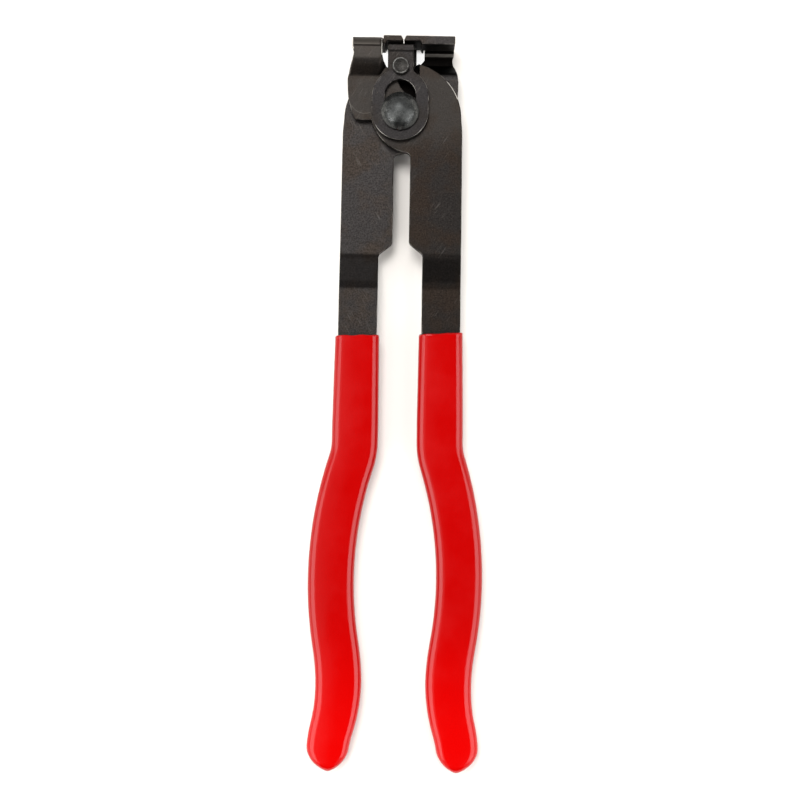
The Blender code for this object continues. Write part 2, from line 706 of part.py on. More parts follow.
def front_presser_plate():
    level = PRESSER_FACE - PRESSER_PLATE / 2
    start = PRESSER_REACH - PRESSER_PLATE / 2 - FOOT_BEND_RADIUS
    foot = level - FOOT_BEND_RADIUS + LEVER_FACE
    fold = Fold(start, 1, start, [(0, -math.pi / 2, FOOT_BEND_RADIUS), (foot, 0, 0)])
    bm = layered(presser_outline(fold.places()[-1]), plate_layers(PRESSER_PLATE))
    for at in fold.places()[1:-1]:
        score(bm, at, 1)
    for vert in bm.verts:
        height = vert.co.z
        if vert.co.y > 0:
            vert.co.y, height = fold.place(vert.co.y, vert.co.z)
        vert.co.z = level + height
    piece = object_from(bm, "front_presser_plate", presser_oxide())
    cut(piece, presser_cutters("front_presser", level))


def back_presser_plate():
    level = PRESSER_PLATE / 2 - PRESSER_FACE
    bm = layered(presser_outline(PRESSER_REACH, BACK_NECK_SHOW), plate_layers(PRESSER_PLATE))
    bmesh.ops.translate(bm, verts=bm.verts, vec=(0, 0, level))
    piece = object_from(bm, "back_presser_plate", presser_oxide())
    cut(piece, presser_cutters("back_presser", level))


def crown(radius, foot, top, power, parts=8):
    """The upper line of a rivet's dome, from its crown down to its rim."""
    shares = [i / parts for i in range(parts + 1)]
    return [(radius * share, foot + (top - foot) * (1 - share**power)) for share in shares]


def pivot_rivet():
    """Domed shoulder rivet. Its shank carries levers and presser, and its tail is peened over the washer."""
    base, seat = PRESSER_FACE + CLEARANCE, -TAIL_SEAT
    profile = crown(DOME_RADIUS, base + DOME_RIM, base + DOME_HEIGHT, DOME_POWER)
    profile += [
        (DOME_RADIUS, base + EDGE_CHAMFER),
        (DOME_RADIUS - EDGE_CHAMFER, base),
        (SHANK_RADIUS, base),
        (SHANK_RADIUS, seat),
        (TAIL_RADIUS, seat),
        (TAIL_RADIUS, seat - EDGE_CHAMFER),
        (TAIL_RADIUS - TAIL_TAPER, seat - TAIL_HEIGHT),
        (0, seat - TAIL_HEIGHT),
    ]
    object_from(turned(profile), "pivot_rivet", turned_oxide())


def bushing(name, inner, outer, bottom, top, centre_y=0.0):
    """A plain turned sleeve or washer with eased outer edges."""
    profile = [
        (inner, top),
        (outer - EDGE_CHAMFER, top),
        (outer, top - EDGE_CHAMFER),
        (outer, bottom + EDGE_CHAMFER),
        (outer - EDGE_CHAMFER, bottom),
        (inner, bottom),
    ]
    object_from(turned(profile, centre_y), name, turned_oxide())


def presser_rivet():
    """Small rivet with a flat head and a faint raised rim, which joins the two presser plates."""
    face = PRESSER_FACE + CLEARANCE
    top = face + SMALL_HEAD_HEIGHT
    profile = [
        (0, top - EDGE_CHAMFER / 2),
        (SMALL_HEAD_RADIUS - 2 * SMALL_HEAD_RIM, top - EDGE_CHAMFER / 2),
        (SMALL_HEAD_RADIUS - SMALL_HEAD_RIM, top),
        (SMALL_HEAD_RADIUS, top - SMALL_HEAD_RIM),
        (SMALL_HEAD_RADIUS, face),
        (SMALL_SHANK_RADIUS, face),
        (SMALL_SHANK_RADIUS, -face),
        (SMALL_TAIL_RADIUS, -face),
        (SMALL_TAIL_RADIUS - EDGE_CHAMFER, -face - SMALL_TAIL_HEIGHT),
        (0, -face - SMALL_TAIL_HEIGHT),
    ]
    object_from(turned(profile, ROLLER_REACH), "presser_rivet", turned_oxide())


def grip_section(half_width, half_height):
    """A rounded rectangle about the handle's line, as (outward, up) places."""
    radius = min(GRIP_EDGE_RADIUS, half_width, half_height)
    corners = ((1, 1, 0), (-1, 1, 1), (-1, -1, 2), (1, -1, 3))
    section = []
    for across, up, quarter in corners:
        centre = (across * (half_width - radius), up * (half_height - radius))
        start = quarter * math.pi / 2
        section += arc(centre, radius, start, start + math.pi / 2, math.pi / 2 / EDGE_SIDES)
    return section


def grip_stations():
    """Places along the handle, with the grip's half width and half height: lip, body, end and drip."""
    begin, end = ARM_START - GRIP_TOP, handle_length()
    wide, high = GRIP_WIDTH / 2, GRIP_THICKNESS / 2
    stations = []
    for i in range(EDGE_SIDES):
        angle = math.pi / 2 * i / EDGE_SIDES
        pulled = GRIP_LIP_RADIUS * (1 - math.sin(angle))
        at = begin + GRIP_LIP_RADIUS * (1 - math.cos(angle))
        stations.append((at, GRIP_TOP_WIDTH / 2 - pulled, high - pulled))
    count = math.ceil((end - begin) / HANDLE_STEP)
    for i in range(count):
        at = begin + GRIP_LIP_RADIUS + (end - begin - GRIP_LIP_RADIUS) * i / count
        share = min((at - begin) / GRIP_WIDENING, 1)
        half = GRIP_TOP_WIDTH / 2 + (wide - GRIP_TOP_WIDTH / 2) * share
        stations.append((at, half, high))
    widest = math.acos(DRIP_RADIUS / wide)
    for i in range(END_STATIONS + 1):
        angle = widest * i / END_STATIONS
        left = wide * (1 - math.sin(angle))
        drop = max(GRIP_EDGE_RADIUS - left, 0)
        half_height = high - GRIP_EDGE_RADIUS + math.sqrt(GRIP_EDGE_RADIUS**2 - drop**2)
        stations.append((end + wide - left, wide * math.cos(angle), half_height))
    for i in (1, 2, 3):
        angle = math.pi / 2 * i / 4
        radius = DRIP_RADIUS * math.cos(angle)
        stations.append((end + wide + DRIP_LENGTH * math.sin(angle), radius, radius))
    return stations


def grip(name, side):
    """Dipped vinyl sleeve, closed at its end, with a blind pocket that the arm fills."""
    offset = side * LEVER_OFFSET
    end = handle_length()
    bm = bmesh.new()
    rings = []
    for at, half_width, half_height in grip_stations():
        place, out = along_handle(min(at, end))
        onward = Vector((out.y, -out.x)) * max(at - end, 0)
        ring = []
        for across, up in grip_section(half_width, half_height):
            spot = place + onward + out * across
            ring.append(bm.verts.new((spot.x + offset, spot.y, up)))
        rings.append(ring)
    for low, high in zip(rings, rings[1:]):
        for i in range(len(low)):
            bm.faces.new((low[i - 1], low[i], high[i], high[i - 1]))
    bm.faces.new(rings[0])
    bm.faces.new(rings[-1])
    piece = object_from(bm, name, red_vinyl())
    begin = ARM_START - GRIP_TOP - OVERRUN
    pocket = shifted(arm_outline(begin, ARM_WIDTH / 2 + CLEARANCE), offset)
    half = PLATE / 2 + CLEARANCE
    cutter = cutter_from(layered(pocket, [(-half, 0), (half, 0)]), name + "_pocket_cutter")
    cut(piece, [cutter])
    for turned_piece in (piece, cutter):
        turned_piece.rotation_euler.y = 0 if side > 0 else math.pi


for old in list(bpy.data.objects):
    bpy.data.objects.remove(old)

lever("front_lever", 1)
lever("back_lever", -1)
grip("right_grip", 1)
grip("left_grip", -1)
front_presser_plate()
back_presser_plate()
pivot_rivet()
washer_seat = CLEARANCE - TAIL_SEAT
bushing("tail_washer", SLOT_RADIUS, WASHER_RADIUS, washer_seat, washer_seat + WASHER_THICKNESS)
presser_rivet()
bushing("guide_roller", SMALL_HOLE_RADIUS, ROLLER_RADIUS, -LEVER_FACE, LEVER_FACE, ROLLER_REACH)
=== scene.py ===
import math

import bmesh
import bpy
from mathutils import Matrix, Vector, noise


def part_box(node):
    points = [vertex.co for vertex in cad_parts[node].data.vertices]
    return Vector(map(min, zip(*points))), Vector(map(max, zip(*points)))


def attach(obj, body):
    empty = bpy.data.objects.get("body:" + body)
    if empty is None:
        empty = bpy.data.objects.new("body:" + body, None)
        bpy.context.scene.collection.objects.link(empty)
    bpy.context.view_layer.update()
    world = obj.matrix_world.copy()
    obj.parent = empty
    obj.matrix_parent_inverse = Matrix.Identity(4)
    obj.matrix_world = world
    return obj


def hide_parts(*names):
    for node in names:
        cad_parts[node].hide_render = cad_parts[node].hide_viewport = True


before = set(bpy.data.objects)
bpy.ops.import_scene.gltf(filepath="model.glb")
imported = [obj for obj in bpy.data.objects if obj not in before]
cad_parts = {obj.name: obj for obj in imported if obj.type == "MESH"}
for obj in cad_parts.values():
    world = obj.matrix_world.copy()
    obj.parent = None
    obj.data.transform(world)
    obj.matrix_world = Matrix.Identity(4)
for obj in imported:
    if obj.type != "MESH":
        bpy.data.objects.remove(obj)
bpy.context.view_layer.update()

MM = 0.001

# Studio. The pliers lie on a white table in a light tent and are seen from straight above. The table tips
# a little, because they rest on the rivet's tail and on the ends of the grips.

FAR = 60.0
ANY = (-FAR, FAR)
VIEW_CENTRE = (1.6 * MM, -96.85 * MM)
VIEW_HEIGHT = 508 * MM
VIEW_WIDTH = 271 * MM
VIEW_ROLL = math.radians(0.95)
TABLE_HALF = 2.0
TABLE_CLEAR = 0.02 * MM
TAIL_FOOT = 4.4 * MM
TABLE_TONES = (0.63, 0.60, 0.565, 1), (0.66, 0.63, 0.595, 1)
TABLE_LIFT = 0.11
FAR_LIFT = 0.6
FAR_TABLE = (0.30, 0.80)
# Painted shade: the floor's lift is taken out between the arms, under the tool. Painted light: the floor
# glows white beside the presser's neck, where it lies in the tool's shadow.
GAP_FLOOR = (-8, 8), (-46, -10), ANY
GAP_SOFT = 14
GAP_SHADE = 0.09
NECK_FLOOR = (-10, 12), (13, 22), ANY
NECK_SOFT = 2
NECK_PAINTED_LIGHT = 0.75
TENT_COLOUR = (1.0, 0.985, 0.97, 1.0)
TENT_SHADE = 0.78
TENT_LEAN = 0.12
TENT_BRIGHT_SIDE = (-0.80, 0.45, 0.40)
PORT_DIRECTION = (0.25, 0.0, 1.0)
PORT_EDGES = (math.radians(27), math.radians(12))
PORT_SHADE = 0.03
FRONT_EDGES = (math.radians(33), math.radians(19))
FRONT_SHADE = 0.03

lever_low, lever_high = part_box("front_lever")
tail_low, tail_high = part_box("pivot_rivet")
grip_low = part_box("right_grip")[0]
MIDDLE = (lever_low.z + lever_high.z) / 2
TOOL_CENTRE = Vector((0, -80 * MM, MIDDLE))


def put_in_scene(name, data):
    """An object that shows a mesh, lamp or camera."""
    made = bpy.data.objects.new(name, data)
    bpy.context.collection.objects.link(made)
    return made


def add_node(tree, kind, values=None, **settings):
    """Adds a shader node and gives its outputs. A value is a number, a colour or another node's output."""
    node = tree.nodes.new("ShaderNode" + kind)
    for key, value in settings.items():
        setattr(node, key, value)
    for key, value in (values or {}).items():
        if isinstance(value, bpy.types.NodeSocket):
            tree.links.new(value, node.inputs[key])
        else:
            node.inputs[key].default_value = value
    return node.outputs


def new_material(name):
    """An empty material, its node tree, the socket for its shader and the place on the tool."""
    made = bpy.data.materials.new(name)
    made.use_nodes = True
    tree = made.node_tree
    tree.nodes.clear()
    out = tree.nodes.new("ShaderNodeOutputMaterial").inputs["Surface"]
    return made, tree, out, add_node(tree, "TexCoord")["Object"]


def arithmetic(tree, operation, first, second=0.0):
    return add_node(tree, "Math", {0: first, 1: second}, operation=operation)[0]


def times(tree, product, *factors):
    for factor in factors:
        product = arithmetic(tree, "MULTIPLY", product, factor)
    return product


def on_vector(tree, operation, vector, other=(0, 0, 0)):
    """What a vector operation gives: a number for a length, distance or dot product, else a vector."""
    given = add_node(tree, "VectorMath", {0: vector, 1: other}, operation=operation)
    return given["Value" if operation in ("LENGTH", "DISTANCE", "DOT_PRODUCT") else "Vector"]


def ramp_between(tree, value, low, high, to_low=0.0, to_high=1.0, curve="SMOOTHSTEP"):
    """A value's smooth step, or its straight ramp where the curve is linear."""
    ends = {"Value": value, "From Min": low, "From Max": high, "To Min": to_low, "To Max": to_high}
    return add_node(tree, "MapRange", ends, interpolation_type=curve)[0]


def noise_of(tree, place, scale, detail=2.0, roughness=0.5):
    """A cloudy noise of the place."""
    look = {"Vector": place, "Scale": scale, "Detail": detail, "Roughness": roughness}
    return add_node(tree, "TexNoise", look)["Fac"]


def mixed(tree, share, first, second):
    return add_node(tree, "Mix", {0: share, 6: first, 7: second}, data_type="RGBA")[2]


def inside(tree, place, spans, soft):
    """One within the spans of x, y and height over the tool's middle, fading to nought over a soft border.

    All are in mm, and an end at FAR is open.
    """
    spot = add_node(tree, "SeparateXYZ", {0: place})
    edges = []
    for axis, base, span in zip("XYZ", (0, 0, MIDDLE), spans):
        for end, way in zip(span, (-soft, soft)):
            if abs(end) < FAR:
                edges.append(ramp_between(tree, spot[axis], base + (end + way) * MM, base + end * MM))
    return times(tree, *edges)


def backdrop_ray(tree):
    """One for rays from the camera and for those that gloss or glass sends on, which see the backdrop."""
    ray = add_node(tree, "LightPath")
    seen = arithmetic(tree, "MAXIMUM", ray["Is Camera Ray"], ray["Is Glossy Ray"])
    return arithmetic(tree, "MAXIMUM", seen, ray["Is Transmission Ray"])


def white_table():
    """Matt white board that keeps the soft shadow, goes to plain white far off and is clear from below.
    Painted shade darkens it between the arms, and painted light brightens it beside the presser's neck.
    """
    made, tree, out, place = new_material("white_table")
    board = add_node(tree, "BsdfDiffuse", {"Color": mixed(tree, noise_of(tree, place, 6.0), *TABLE_TONES)})
    # Painted shade on the floor between the arms, and painted light on the floor beside the neck
    gap = times(tree, inside(tree, place, GAP_FLOOR, GAP_SOFT), GAP_SHADE)
    beside = times(tree, inside(tree, place, NECK_FLOOR, NECK_SOFT), NECK_PAINTED_LIGHT)
    far = times(tree, ramp_between(tree, on_vector(tree, "LENGTH", place), *FAR_TABLE), FAR_LIFT)
    direct = add_node(tree, "LightPath")["Is Camera Ray"]
    extra = times(tree, arithmetic(tree, "ADD", beside, far), direct)
    glow = arithmetic(tree, "ADD", arithmetic(tree, "SUBTRACT", TABLE_LIFT, gap), extra)
    lift = add_node(tree, "Emission", {"Strength": glow})
    seen = add_node(tree, "MixShader", {0: backdrop_ray(tree), 2: lift[0]})
    above = add_node(tree, "AddShader", {0: board[0], 1: seen[0]})
    under = add_node(tree, "NewGeometry")["Backfacing"]
    clear = add_node(tree, "BsdfTransparent")
    tree.links.new(add_node(tree, "MixShader", {0: under, 1: above[0], 2: clear[0]})[0], out)
    return made


def shade_toward(tree, place, direction, angles, shades, curve="SMOOTHSTEP"):
    """A shade that goes from one value to another as a direction turns towards the given one."""
    toward = on_vector(tree, "DOT_PRODUCT", place, Vector(direction).normalized())
    return ramp_between(tree, toward, math.cos(angles[0]), math.cos(angles[1]), *shades, curve)


def light_tent(world):
    """White tent, brighter at one side, with a dark port for the camera overhead and its stand in front."""
    world.use_nodes = True
    tree = world.node_tree
    tree.nodes.clear()
    place = add_node(tree, "TexCoord")["Generated"]
    compass = on_vector(tree, "NORMALIZE", on_vector(tree, "MULTIPLY", place, (1, 1, 0)))
    sides = (1 - TENT_LEAN, 1 + TENT_LEAN)
    lean = shade_toward(tree, place, TENT_BRIGHT_SIDE, (math.pi, 0), sides, "LINEAR")
    port = shade_toward(tree, place, PORT_DIRECTION, PORT_EDGES, (1.0, PORT_SHADE))
    front = shade_toward(tree, compass, (0, -1, 0), FRONT_EDGES, (1.0, FRONT_SHADE))
    shade = times(tree, lean, port, front, TENT_SHADE)
    seen = add_node(tree, "Mix", {0: add_node(tree, "LightPath")["Is Camera Ray"], 2: shade, 3: 1.0})[0]
    tent = add_node(tree, "Background", {"Color": TENT_COLOUR, "Strength": seen})
    tree.links.new(tent[0], tree.nodes.new("ShaderNodeOutputWorld").inputs["Surface"])


def softbox(name, place, size, power):
    """A rectangular diffuser lamp that faces the middle of the tool."""
    lamp = bpy.data.lights.new(name, "AREA")
    lamp.shape = "RECTANGLE"
    lamp.size, lamp.size_y = size
    lamp.energy = power
    holder = put_in_scene(name, lamp)
    holder.location = place
    holder.rotation_euler = (TOOL_CENTRE - Vector(place)).to_track_quat("-Z", "Y").to_euler()


lens = bpy.data.cameras.new("view_from_above")
lens.angle = 2 * math.atan(VIEW_WIDTH / 2 / VIEW_HEIGHT)
lens.clip_start = 10 * MM
camera = put_in_scene("view_from_above", lens)
camera.location = (*VIEW_CENTRE, MIDDLE + VIEW_HEIGHT)
camera.rotation_euler.z = VIEW_ROLL
bpy.context.scene.camera = camera

table_mesh = bpy.data.meshes.new("table")
table_corners = [(x * TABLE_HALF, y * TABLE_HALF, 0) for x, y in ((-1, -1), (1, -1), (1, 1), (-1, 1))]
table_mesh.from_pydata(table_corners, [], [(0, 1, 2, 3)])
table_mesh.materials.append(white_table())
table_tip = math.atan2(grip_low.z - tail_low.z, -grip_low.y)
table = put_in_scene("table", table_mesh)
table.rotation_euler.x = -table_tip
table.location.z = tail_low.z - TAIL_FOOT * math.sin(table_tip) - TABLE_CLEAR

tent_world = bpy.context.scene.world or bpy.data.worlds.new("tent")
light_tent(tent_world)
bpy.context.scene.world = tent_world
bpy.context.scene.view_settings.view_transform = "Standard"
softbox("key_box", (-0.11, 0.27, 0.70), (0.30, 0.30), 5.4)
softbox("left_box", (-0.50, -0.30, 0.40), (0.62, 0.56), 4.8)
softbox("right_box", (0.50, -0.28, 0.40), (0.62, 0.56), 4.8)

# Levers. Two pressings of 2.8 mm plate, one the other turned over, black oxide finished. Each is blanked
# with a notch and cam ramp, then stepped and folded into its jaw, and its arm is stepped to mid-plane.

PLATE = 2.8 * MM
CLEARANCE = 0.3 * MM
BEND_RADIUS = 2.4 * MM
RIM_RADIUS = 0.34 * MM
RIM_STEPS = 4
RIM_HOLD = 0.06 * MM
OVERRUN = 1.5 * MM
ARC_STEP = math.radians(4)
BEND_STEP = math.radians(6)
TURNED_SIDES = 96
EASE_PARTS = 6
CURVE_PARTS = 8
WELD = 0.002 * MM
CUT_WELD = 0.0005 * MM
SHARP_ANGLE = math.radians(38)
ROUNDING_SHARE = 0.45
FLAT_ENOUGH = 0.9995
LEVER_OFFSET = 0.9 * MM
OPEN_ANGLE = math.radians(13)
PRESSER_TRAVEL = 3.2 * MM

SHANK_RADIUS = 4.85 * MM
SLOT_RADIUS = SHANK_RADIUS + CLEARANCE
SLOT_LENGTH = 4.9 * MM
SLOT_HEADROOM = 0.67 * MM
NECK_WIDTH = 8.7 * MM
RING_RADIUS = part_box("front_presser_plate")[1].x
PRESSER_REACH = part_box("front_presser_plate")[1].y
ROLLER_RADIUS = 3.3 * MM
ROLLER_REACH = (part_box("guide_roller")[0].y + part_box("guide_roller")[1].y) / 2

JAW_REACH = lever_high.y
JAW_HALF_WIDTH = 18.7 * MM
JAW_STEP_START = 11.9 * MM
JAW_STEP_RISE = 4.2 * MM
JAW_STEP_ANGLE = math.radians(50)
TAB_INNER = 7.15 * MM
RELIEF_SLIT = 0.4 * MM
FINGER_THICKNESS = 1.7 * MM
FINGER_ROOT = 6.2 * MM
FINGER_ROOT_SLOPE = 0.5 * MM
TIP_BEVEL = 0.85 * MM
TIP_GAP = 0.1 * MM
TAB_EDGE_SHARES = ((0.845, -0.108), (0.915, -0.010), (0.979, 0.172), (1.000, 0.360),
                   (0.993, 0.490), (0.918, 0.672), (0.893, 0.770), (0.920, 0.845))
FLANGE_WIDTH_SHARE = 0.92
DRAWN_START = 7.6 * MM
DRAWN_END = 4.8 * MM
DRAWN_RISE = 3.2 * MM
DRAWN_COLUMNS = 14
NOTCH_FLOOR_RADIUS = 6.5 * MM
NOTCH_FLOOR_SLOPE = math.radians(22)
NOTCH_RADIUS = 1.9 * MM
NOTCH_LIP = (4.4 * MM, 15.2 * MM)
NOTCH_THROAT = (5.8 * MM, 16.6 * MM)
NOTCH_TOP = 19.3 * MM
RAMP_OVERTRAVEL = math.radians(3)
RAMP_STEP = ARC_STEP / 3

BLADE_OUTER = 20.2 * MM
BLADE_INNER = 2.8 * MM
BLADE_TOP = -6.5 * MM
BLADE_BOTTOM = -44.2 * MM
BLADE_CORNER_RADIUS = 2.0 * MM
GAP_CORNER_RADIUS = 1.7 * MM
SHOULDER_RADIUS = 18.9 * MM
SHOULDER_CENTRE = (0.9 * MM, -2.0 * MM)
SHOULDER_CORNER_RADIUS = 0.9 * MM
CHIN_RADIUS = 14.9 * MM
CHIN_CENTRE = (4.0 * MM, 1.0 * MM)
TAB_FOOT_RADIUS = 1.3 * MM
CHAMFER_BOTTOM = -47.8 * MM
ARM_STEP_START = -48.7 * MM
ARM_STEP_ANGLE = math.radians(12)
ARM_STEP_RADIUS = 6.0 * MM
ARM_WIDTH = 13.1 * MM
ARM_START = -60.0 * MM

HANDLE_X = 14.02 * MM
HANDLE_LEAN = math.radians(0.37)
HANDLE_STRAIGHT = 51.0 * MM
ELBOW_RADIUS = 24.0 * MM
ELBOW_ANGLE = math.radians(17.3)
BELLY_RADIUS = 132.0 * MM
WAIST_APPROACH_RADIUS = 125.0 * MM
WAIST_ANGLE = math.radians(8.95)
WAIST_STRAIGHT = 4.0 * MM
WAIST_RADIUS = 80.0 * MM
FLARE_RADIUS = 63.0 * MM
FLARE_ANGLE = math.radians(13.2)
HANDLE_TAIL = 6.2 * MM
HANDLE_TAIL_ANGLE = math.radians(9)
HANDLE_STEP = 1.5 * MM
GRIP_END_WALL = 2.0 * MM

LEVER_FACE = CLEARANCE / 2 + PLATE
JAW_FACE = LEVER_FACE + JAW_STEP_RISE


def arc(centre, radius, start, end, step=ARC_STEP, count=0):
    """Points along an arc, from one angle to another, both ends included."""
    count = count or max(2, math.ceil(abs(end - start) / step))
    angles = [start + (end - start) * i / count for i in range(count + 1)]
    return [(centre[0] + radius * math.cos(a), centre[1] + radius * math.sin(a)) for a in angles]


def quarter(centre, radius, start):
    """A profile's eased edge: a quarter turn clockwise."""
    return arc(centre, radius, start, start - math.pi / 2, count=EASE_PARTS)


def rounded(before, corner, after, radius):
    """Points of the arc that rounds a corner of an outline, as far as its shorter side allows."""
    corner = Vector(corner)
    sides = [Vector(before) - corner, Vector(after) - corner]
    back, ahead = [side.normalized() for side in sides]
    half = back.angle(ahead) / 2
    reach = min(radius / math.tan(half), ROUNDING_SHARE * min(side.length for side in sides))
    radius = reach * math.tan(half)
    centre = corner + (back + ahead).normalized() * (radius / math.sin(half))
    first, last = corner + back * reach - centre, corner + ahead * reach - centre
    turn = math.copysign(math.pi - 2 * half, first.cross(last))
    start = math.atan2(first.y, first.x)
    return arc(centre, radius, start, start + turn, ARC_STEP * 2)


def smooth_through(points):
    """A Catmull-Rom curve through the points, which keeps both ends."""
    padded = [points[0], *points, points[-1]]
    curve = []
    for near in zip(padded, padded[1:], padded[2:], padded[3:]):
        for i in range(CURVE_PARTS):
            t = i / CURVE_PARTS
            weights = ((-t + 2 * t**2 - t**3) / 2, (2 - 5 * t**2 + 3 * t**3) / 2,
                       (t + 4 * t**2 - 3 * t**3) / 2, (t**3 - t**2) / 2)
            curve.append(tuple(sum(w * p[k] for w, p in zip(weights, near)) for k in (0, 1)))
    return [*curve, points[-1]]


def inset(outline, distance):
    """The outline moved inwards by a distance, or outwards where it is negative, corner by corner."""
    moved = []
    for i, point in enumerate(outline):
        here = Vector(point)
        along = (here - Vector(outline[i - 1])).normalized()
        onward = (Vector(outline[(i + 1) % len(outline)]) - here).normalized()
        left = Vector((-along.y - onward.y, along.x + onward.x)) / (1 + along.dot(onward))
        moved.append(tuple(here + left * distance))
    return moved


def rim_layers(thickness, radius=RIM_RADIUS, way=1, last=None):
    """A plate's (height, inset, rim) layers: both rims rolled round, each held by one more flat loop.

    A slot's cutter has them the other way, outwards, and its own last loop past the plate.
    """
    half = thickness / 2
    angles = [math.pi / 2 * i / RIM_STEPS for i in range(RIM_STEPS + 1)]
    top = [(half - radius * (1 - math.sin(a)), way * radius * (1 - math.cos(a)), math.sin(2 * a))
           for a in angles]
    top.append(last or (half, radius + RIM_HOLD, 0.0))
    return [(-z, inward, rim) for z, inward, rim in reversed(top)] + top


def close_rings(bm, rings):
    """Faces from each ring to the next, and over both ends."""
    for low, high in zip(rings, rings[1:]):
        for i in range(len(low)):
            bm.faces.new((low[i - 1], low[i], high[i], high[i - 1]))
    bm.faces.new(reversed(rings[0]))
    bm.faces.new(rings[-1])


def layered(outline, layers):
    """A closed solid through copies of one outline. Its rim layer marks the edges that wear first."""
    bm = bmesh.new()
    rim = bm.verts.layers.float.new("rim")
    rings = []
    for z, inward, worn in layers:
        ring = [bm.verts.new((*p, z)) for p in inset(outline, inward)]
        for vert in ring:
            vert[rim] = worn
        rings.append(ring)
    close_rings(bm, rings)
    return bm


def turned(profile, centre_y=0.0, worn=()):
    """A solid of revolution from (radius, height) points. The rim layer is one at the listed heights."""
    bm = bmesh.new()
    rim = bm.verts.layers.float.new("rim")
    verts = [bm.verts.new((radius, centre_y, height)) for radius, height in profile]
    for vert, (radius, height) in zip(verts, profile):
        vert[rim] = 1.0 if (radius, height) in worn else 0.0
    pairs = list(zip(verts, verts[1:]))
    if profile[0][0] > 0:
        pairs.append((verts[-1], verts[0]))
    edges = [bm.edges.new(pair) for pair in pairs]
    bmesh.ops.spin(bm, geom=verts + edges, cent=(0, centre_y, 0), axis=(0, 0, 1), angle=math.tau,
                   steps=TURNED_SIDES, use_merge=True)
    return bm


def finished(bm, name, finish=None, turned_over=False, cutters=()):
    """Makes the named piece at the tool's middle height, drilled by its cutters and shaded by face area.

    Without a finish it is a cutter. A cut smears the rim layer over the flat faces, so it is cleared there.
    """
    bmesh.ops.remove_doubles(bm, verts=bm.verts, dist=WELD)
    bmesh.ops.recalc_face_normals(bm, faces=bm.faces)
    mesh = bpy.data.meshes.new(name)
    bm.to_mesh(mesh)
    bm.free()
    piece = put_in_scene(name, mesh)
    if finish is None:
        return piece
    for cutter in cutters:
        boolean = piece.modifiers.new(cutter.name, "BOOLEAN")
        boolean.operation, boolean.solver, boolean.object = "DIFFERENCE", "EXACT", cutter
    graph = bpy.context.evaluated_depsgraph_get()
    whole = bpy.data.meshes.new_from_object(piece.evaluated_get(graph), depsgraph=graph)
    piece.modifiers.clear()
    for cutter in cutters:
        bpy.data.objects.remove(cutter)
    piece.data = whole
    bpy.data.meshes.remove(mesh)
    whole.name = name
    worn = whole.attributes["rim"].data
    for face in whole.polygons:
        if cutters and abs(face.normal.z) > FLAT_ENOUGH:
            for vert in face.vertices:
                worn[vert].value = 0.0
    if turned_over:
        whole.transform(Matrix.Rotation(math.pi, 4, "Y"))
    whole.transform(Matrix.Translation((0, 0, MIDDLE)))
    whole.shade_smooth()
    whole.set_sharp_from_angle(angle=SHARP_ANGLE)
    whole.materials.clear()
    whole.materials.append(finish)
    weighted = piece.modifiers.new("shading", "WEIGHTED_NORMAL")
    weighted.keep_sharp = True
    weighted.weight = 100
    return piece


def drill(name, radius, reach, level=0.0, centre_y=0.0):
    """A round cutter that reaches as far above its level as below it."""
    profile = [(0, level + reach), (radius, level + reach), (radius, level - reach), (0, level - reach)]
    return finished(turned(profile, centre_y), name)


class Fold:
    """The middle surface of a bent sheet, as narrow flats between straight fold lines.

    It starts as a flat run up to the first bend. Each line holds its developed place, where it lies once
    bent, the mitre that the sheet's two faces follow there, and how far it is drawn along by the notch.
    """

    def __init__(self, start, heading, run, steps, drawn=()):
        self.start, self.heading = start, heading
        points, angle = [Vector((-run, 0)), Vector((0, 0))], 0.0
        for length, turn, radius in steps:
            count = max(1, math.ceil(abs(turn) / BEND_STEP))
            chord = length or 2 * radius * math.sin(abs(turn) / count / 2)
            for _ in range(count):
                angle += turn / count / 2
                points.append(points[-1] + chord * Vector((math.cos(angle), math.sin(angle))))
                angle += turn / count / 2
        along = [(b - a).normalized() for a, b in zip(points, points[1:])]
        self.lines, developed = [], -run
        for i, point in enumerate(points):
            before, after = along[max(i - 1, 0)], along[min(i, len(along) - 1)]
            mitre = Vector((-before.y - after.y, before.x + after.x)) / (1 + before.dot(after))
            draw = drawn[i] if i < len(drawn) else 0.0
            self.lines.append((developed, point, mitre, draw))
            if i < len(along):
                developed += (points[i + 1] - point).length

    def between(self, wanted, measure):
        """The two fold lines on either side of a value, and the share of the way between them."""
        pairs = zip(self.lines, self.lines[1:])
        pairs = [pair for pair in pairs if measure(pair[1]) - measure(pair[0]) > WELD]
        low, high = next((pair for pair in pairs if wanted <= measure(pair[1])), pairs[-1])
        return low, high, (wanted - measure(low)) / (measure(high) - measure(low))

    def place(self, developed, across, draw=0.0):
        """Where a point of the flat blank goes: its place along the tool and its height."""
        low, high, share = self.between((developed - self.start) * self.heading, lambda line: line[0])
        ends = [line[1] + Vector((draw * line[3], 0)) + line[2] * across for line in (low, high)]
        spot = ends[0].lerp(ends[1], share)
        return self.start + spot.x * self.heading, spot.y

    def unfold(self, reach, draw=0.0):
        """The developed place of a point that lies at this reach along the tool once it is bent."""
        wanted = (reach - self.start) * self.heading
        low, high, share = self.between(wanted, lambda line: line[1].x + draw * line[3])
        return self.start + (low[0] + (high[0] - low[0]) * share) * self.heading

    def places(self):
        """The developed places of the fold lines."""
        return [self.start + line[0] * self.heading for line in self.lines]


def slope_length(rise, angle, radius):
    """Length of the straight slope between the two bends of a step."""
    return (rise - 2 * radius * (1 - math.cos(angle))) / math.sin(angle)


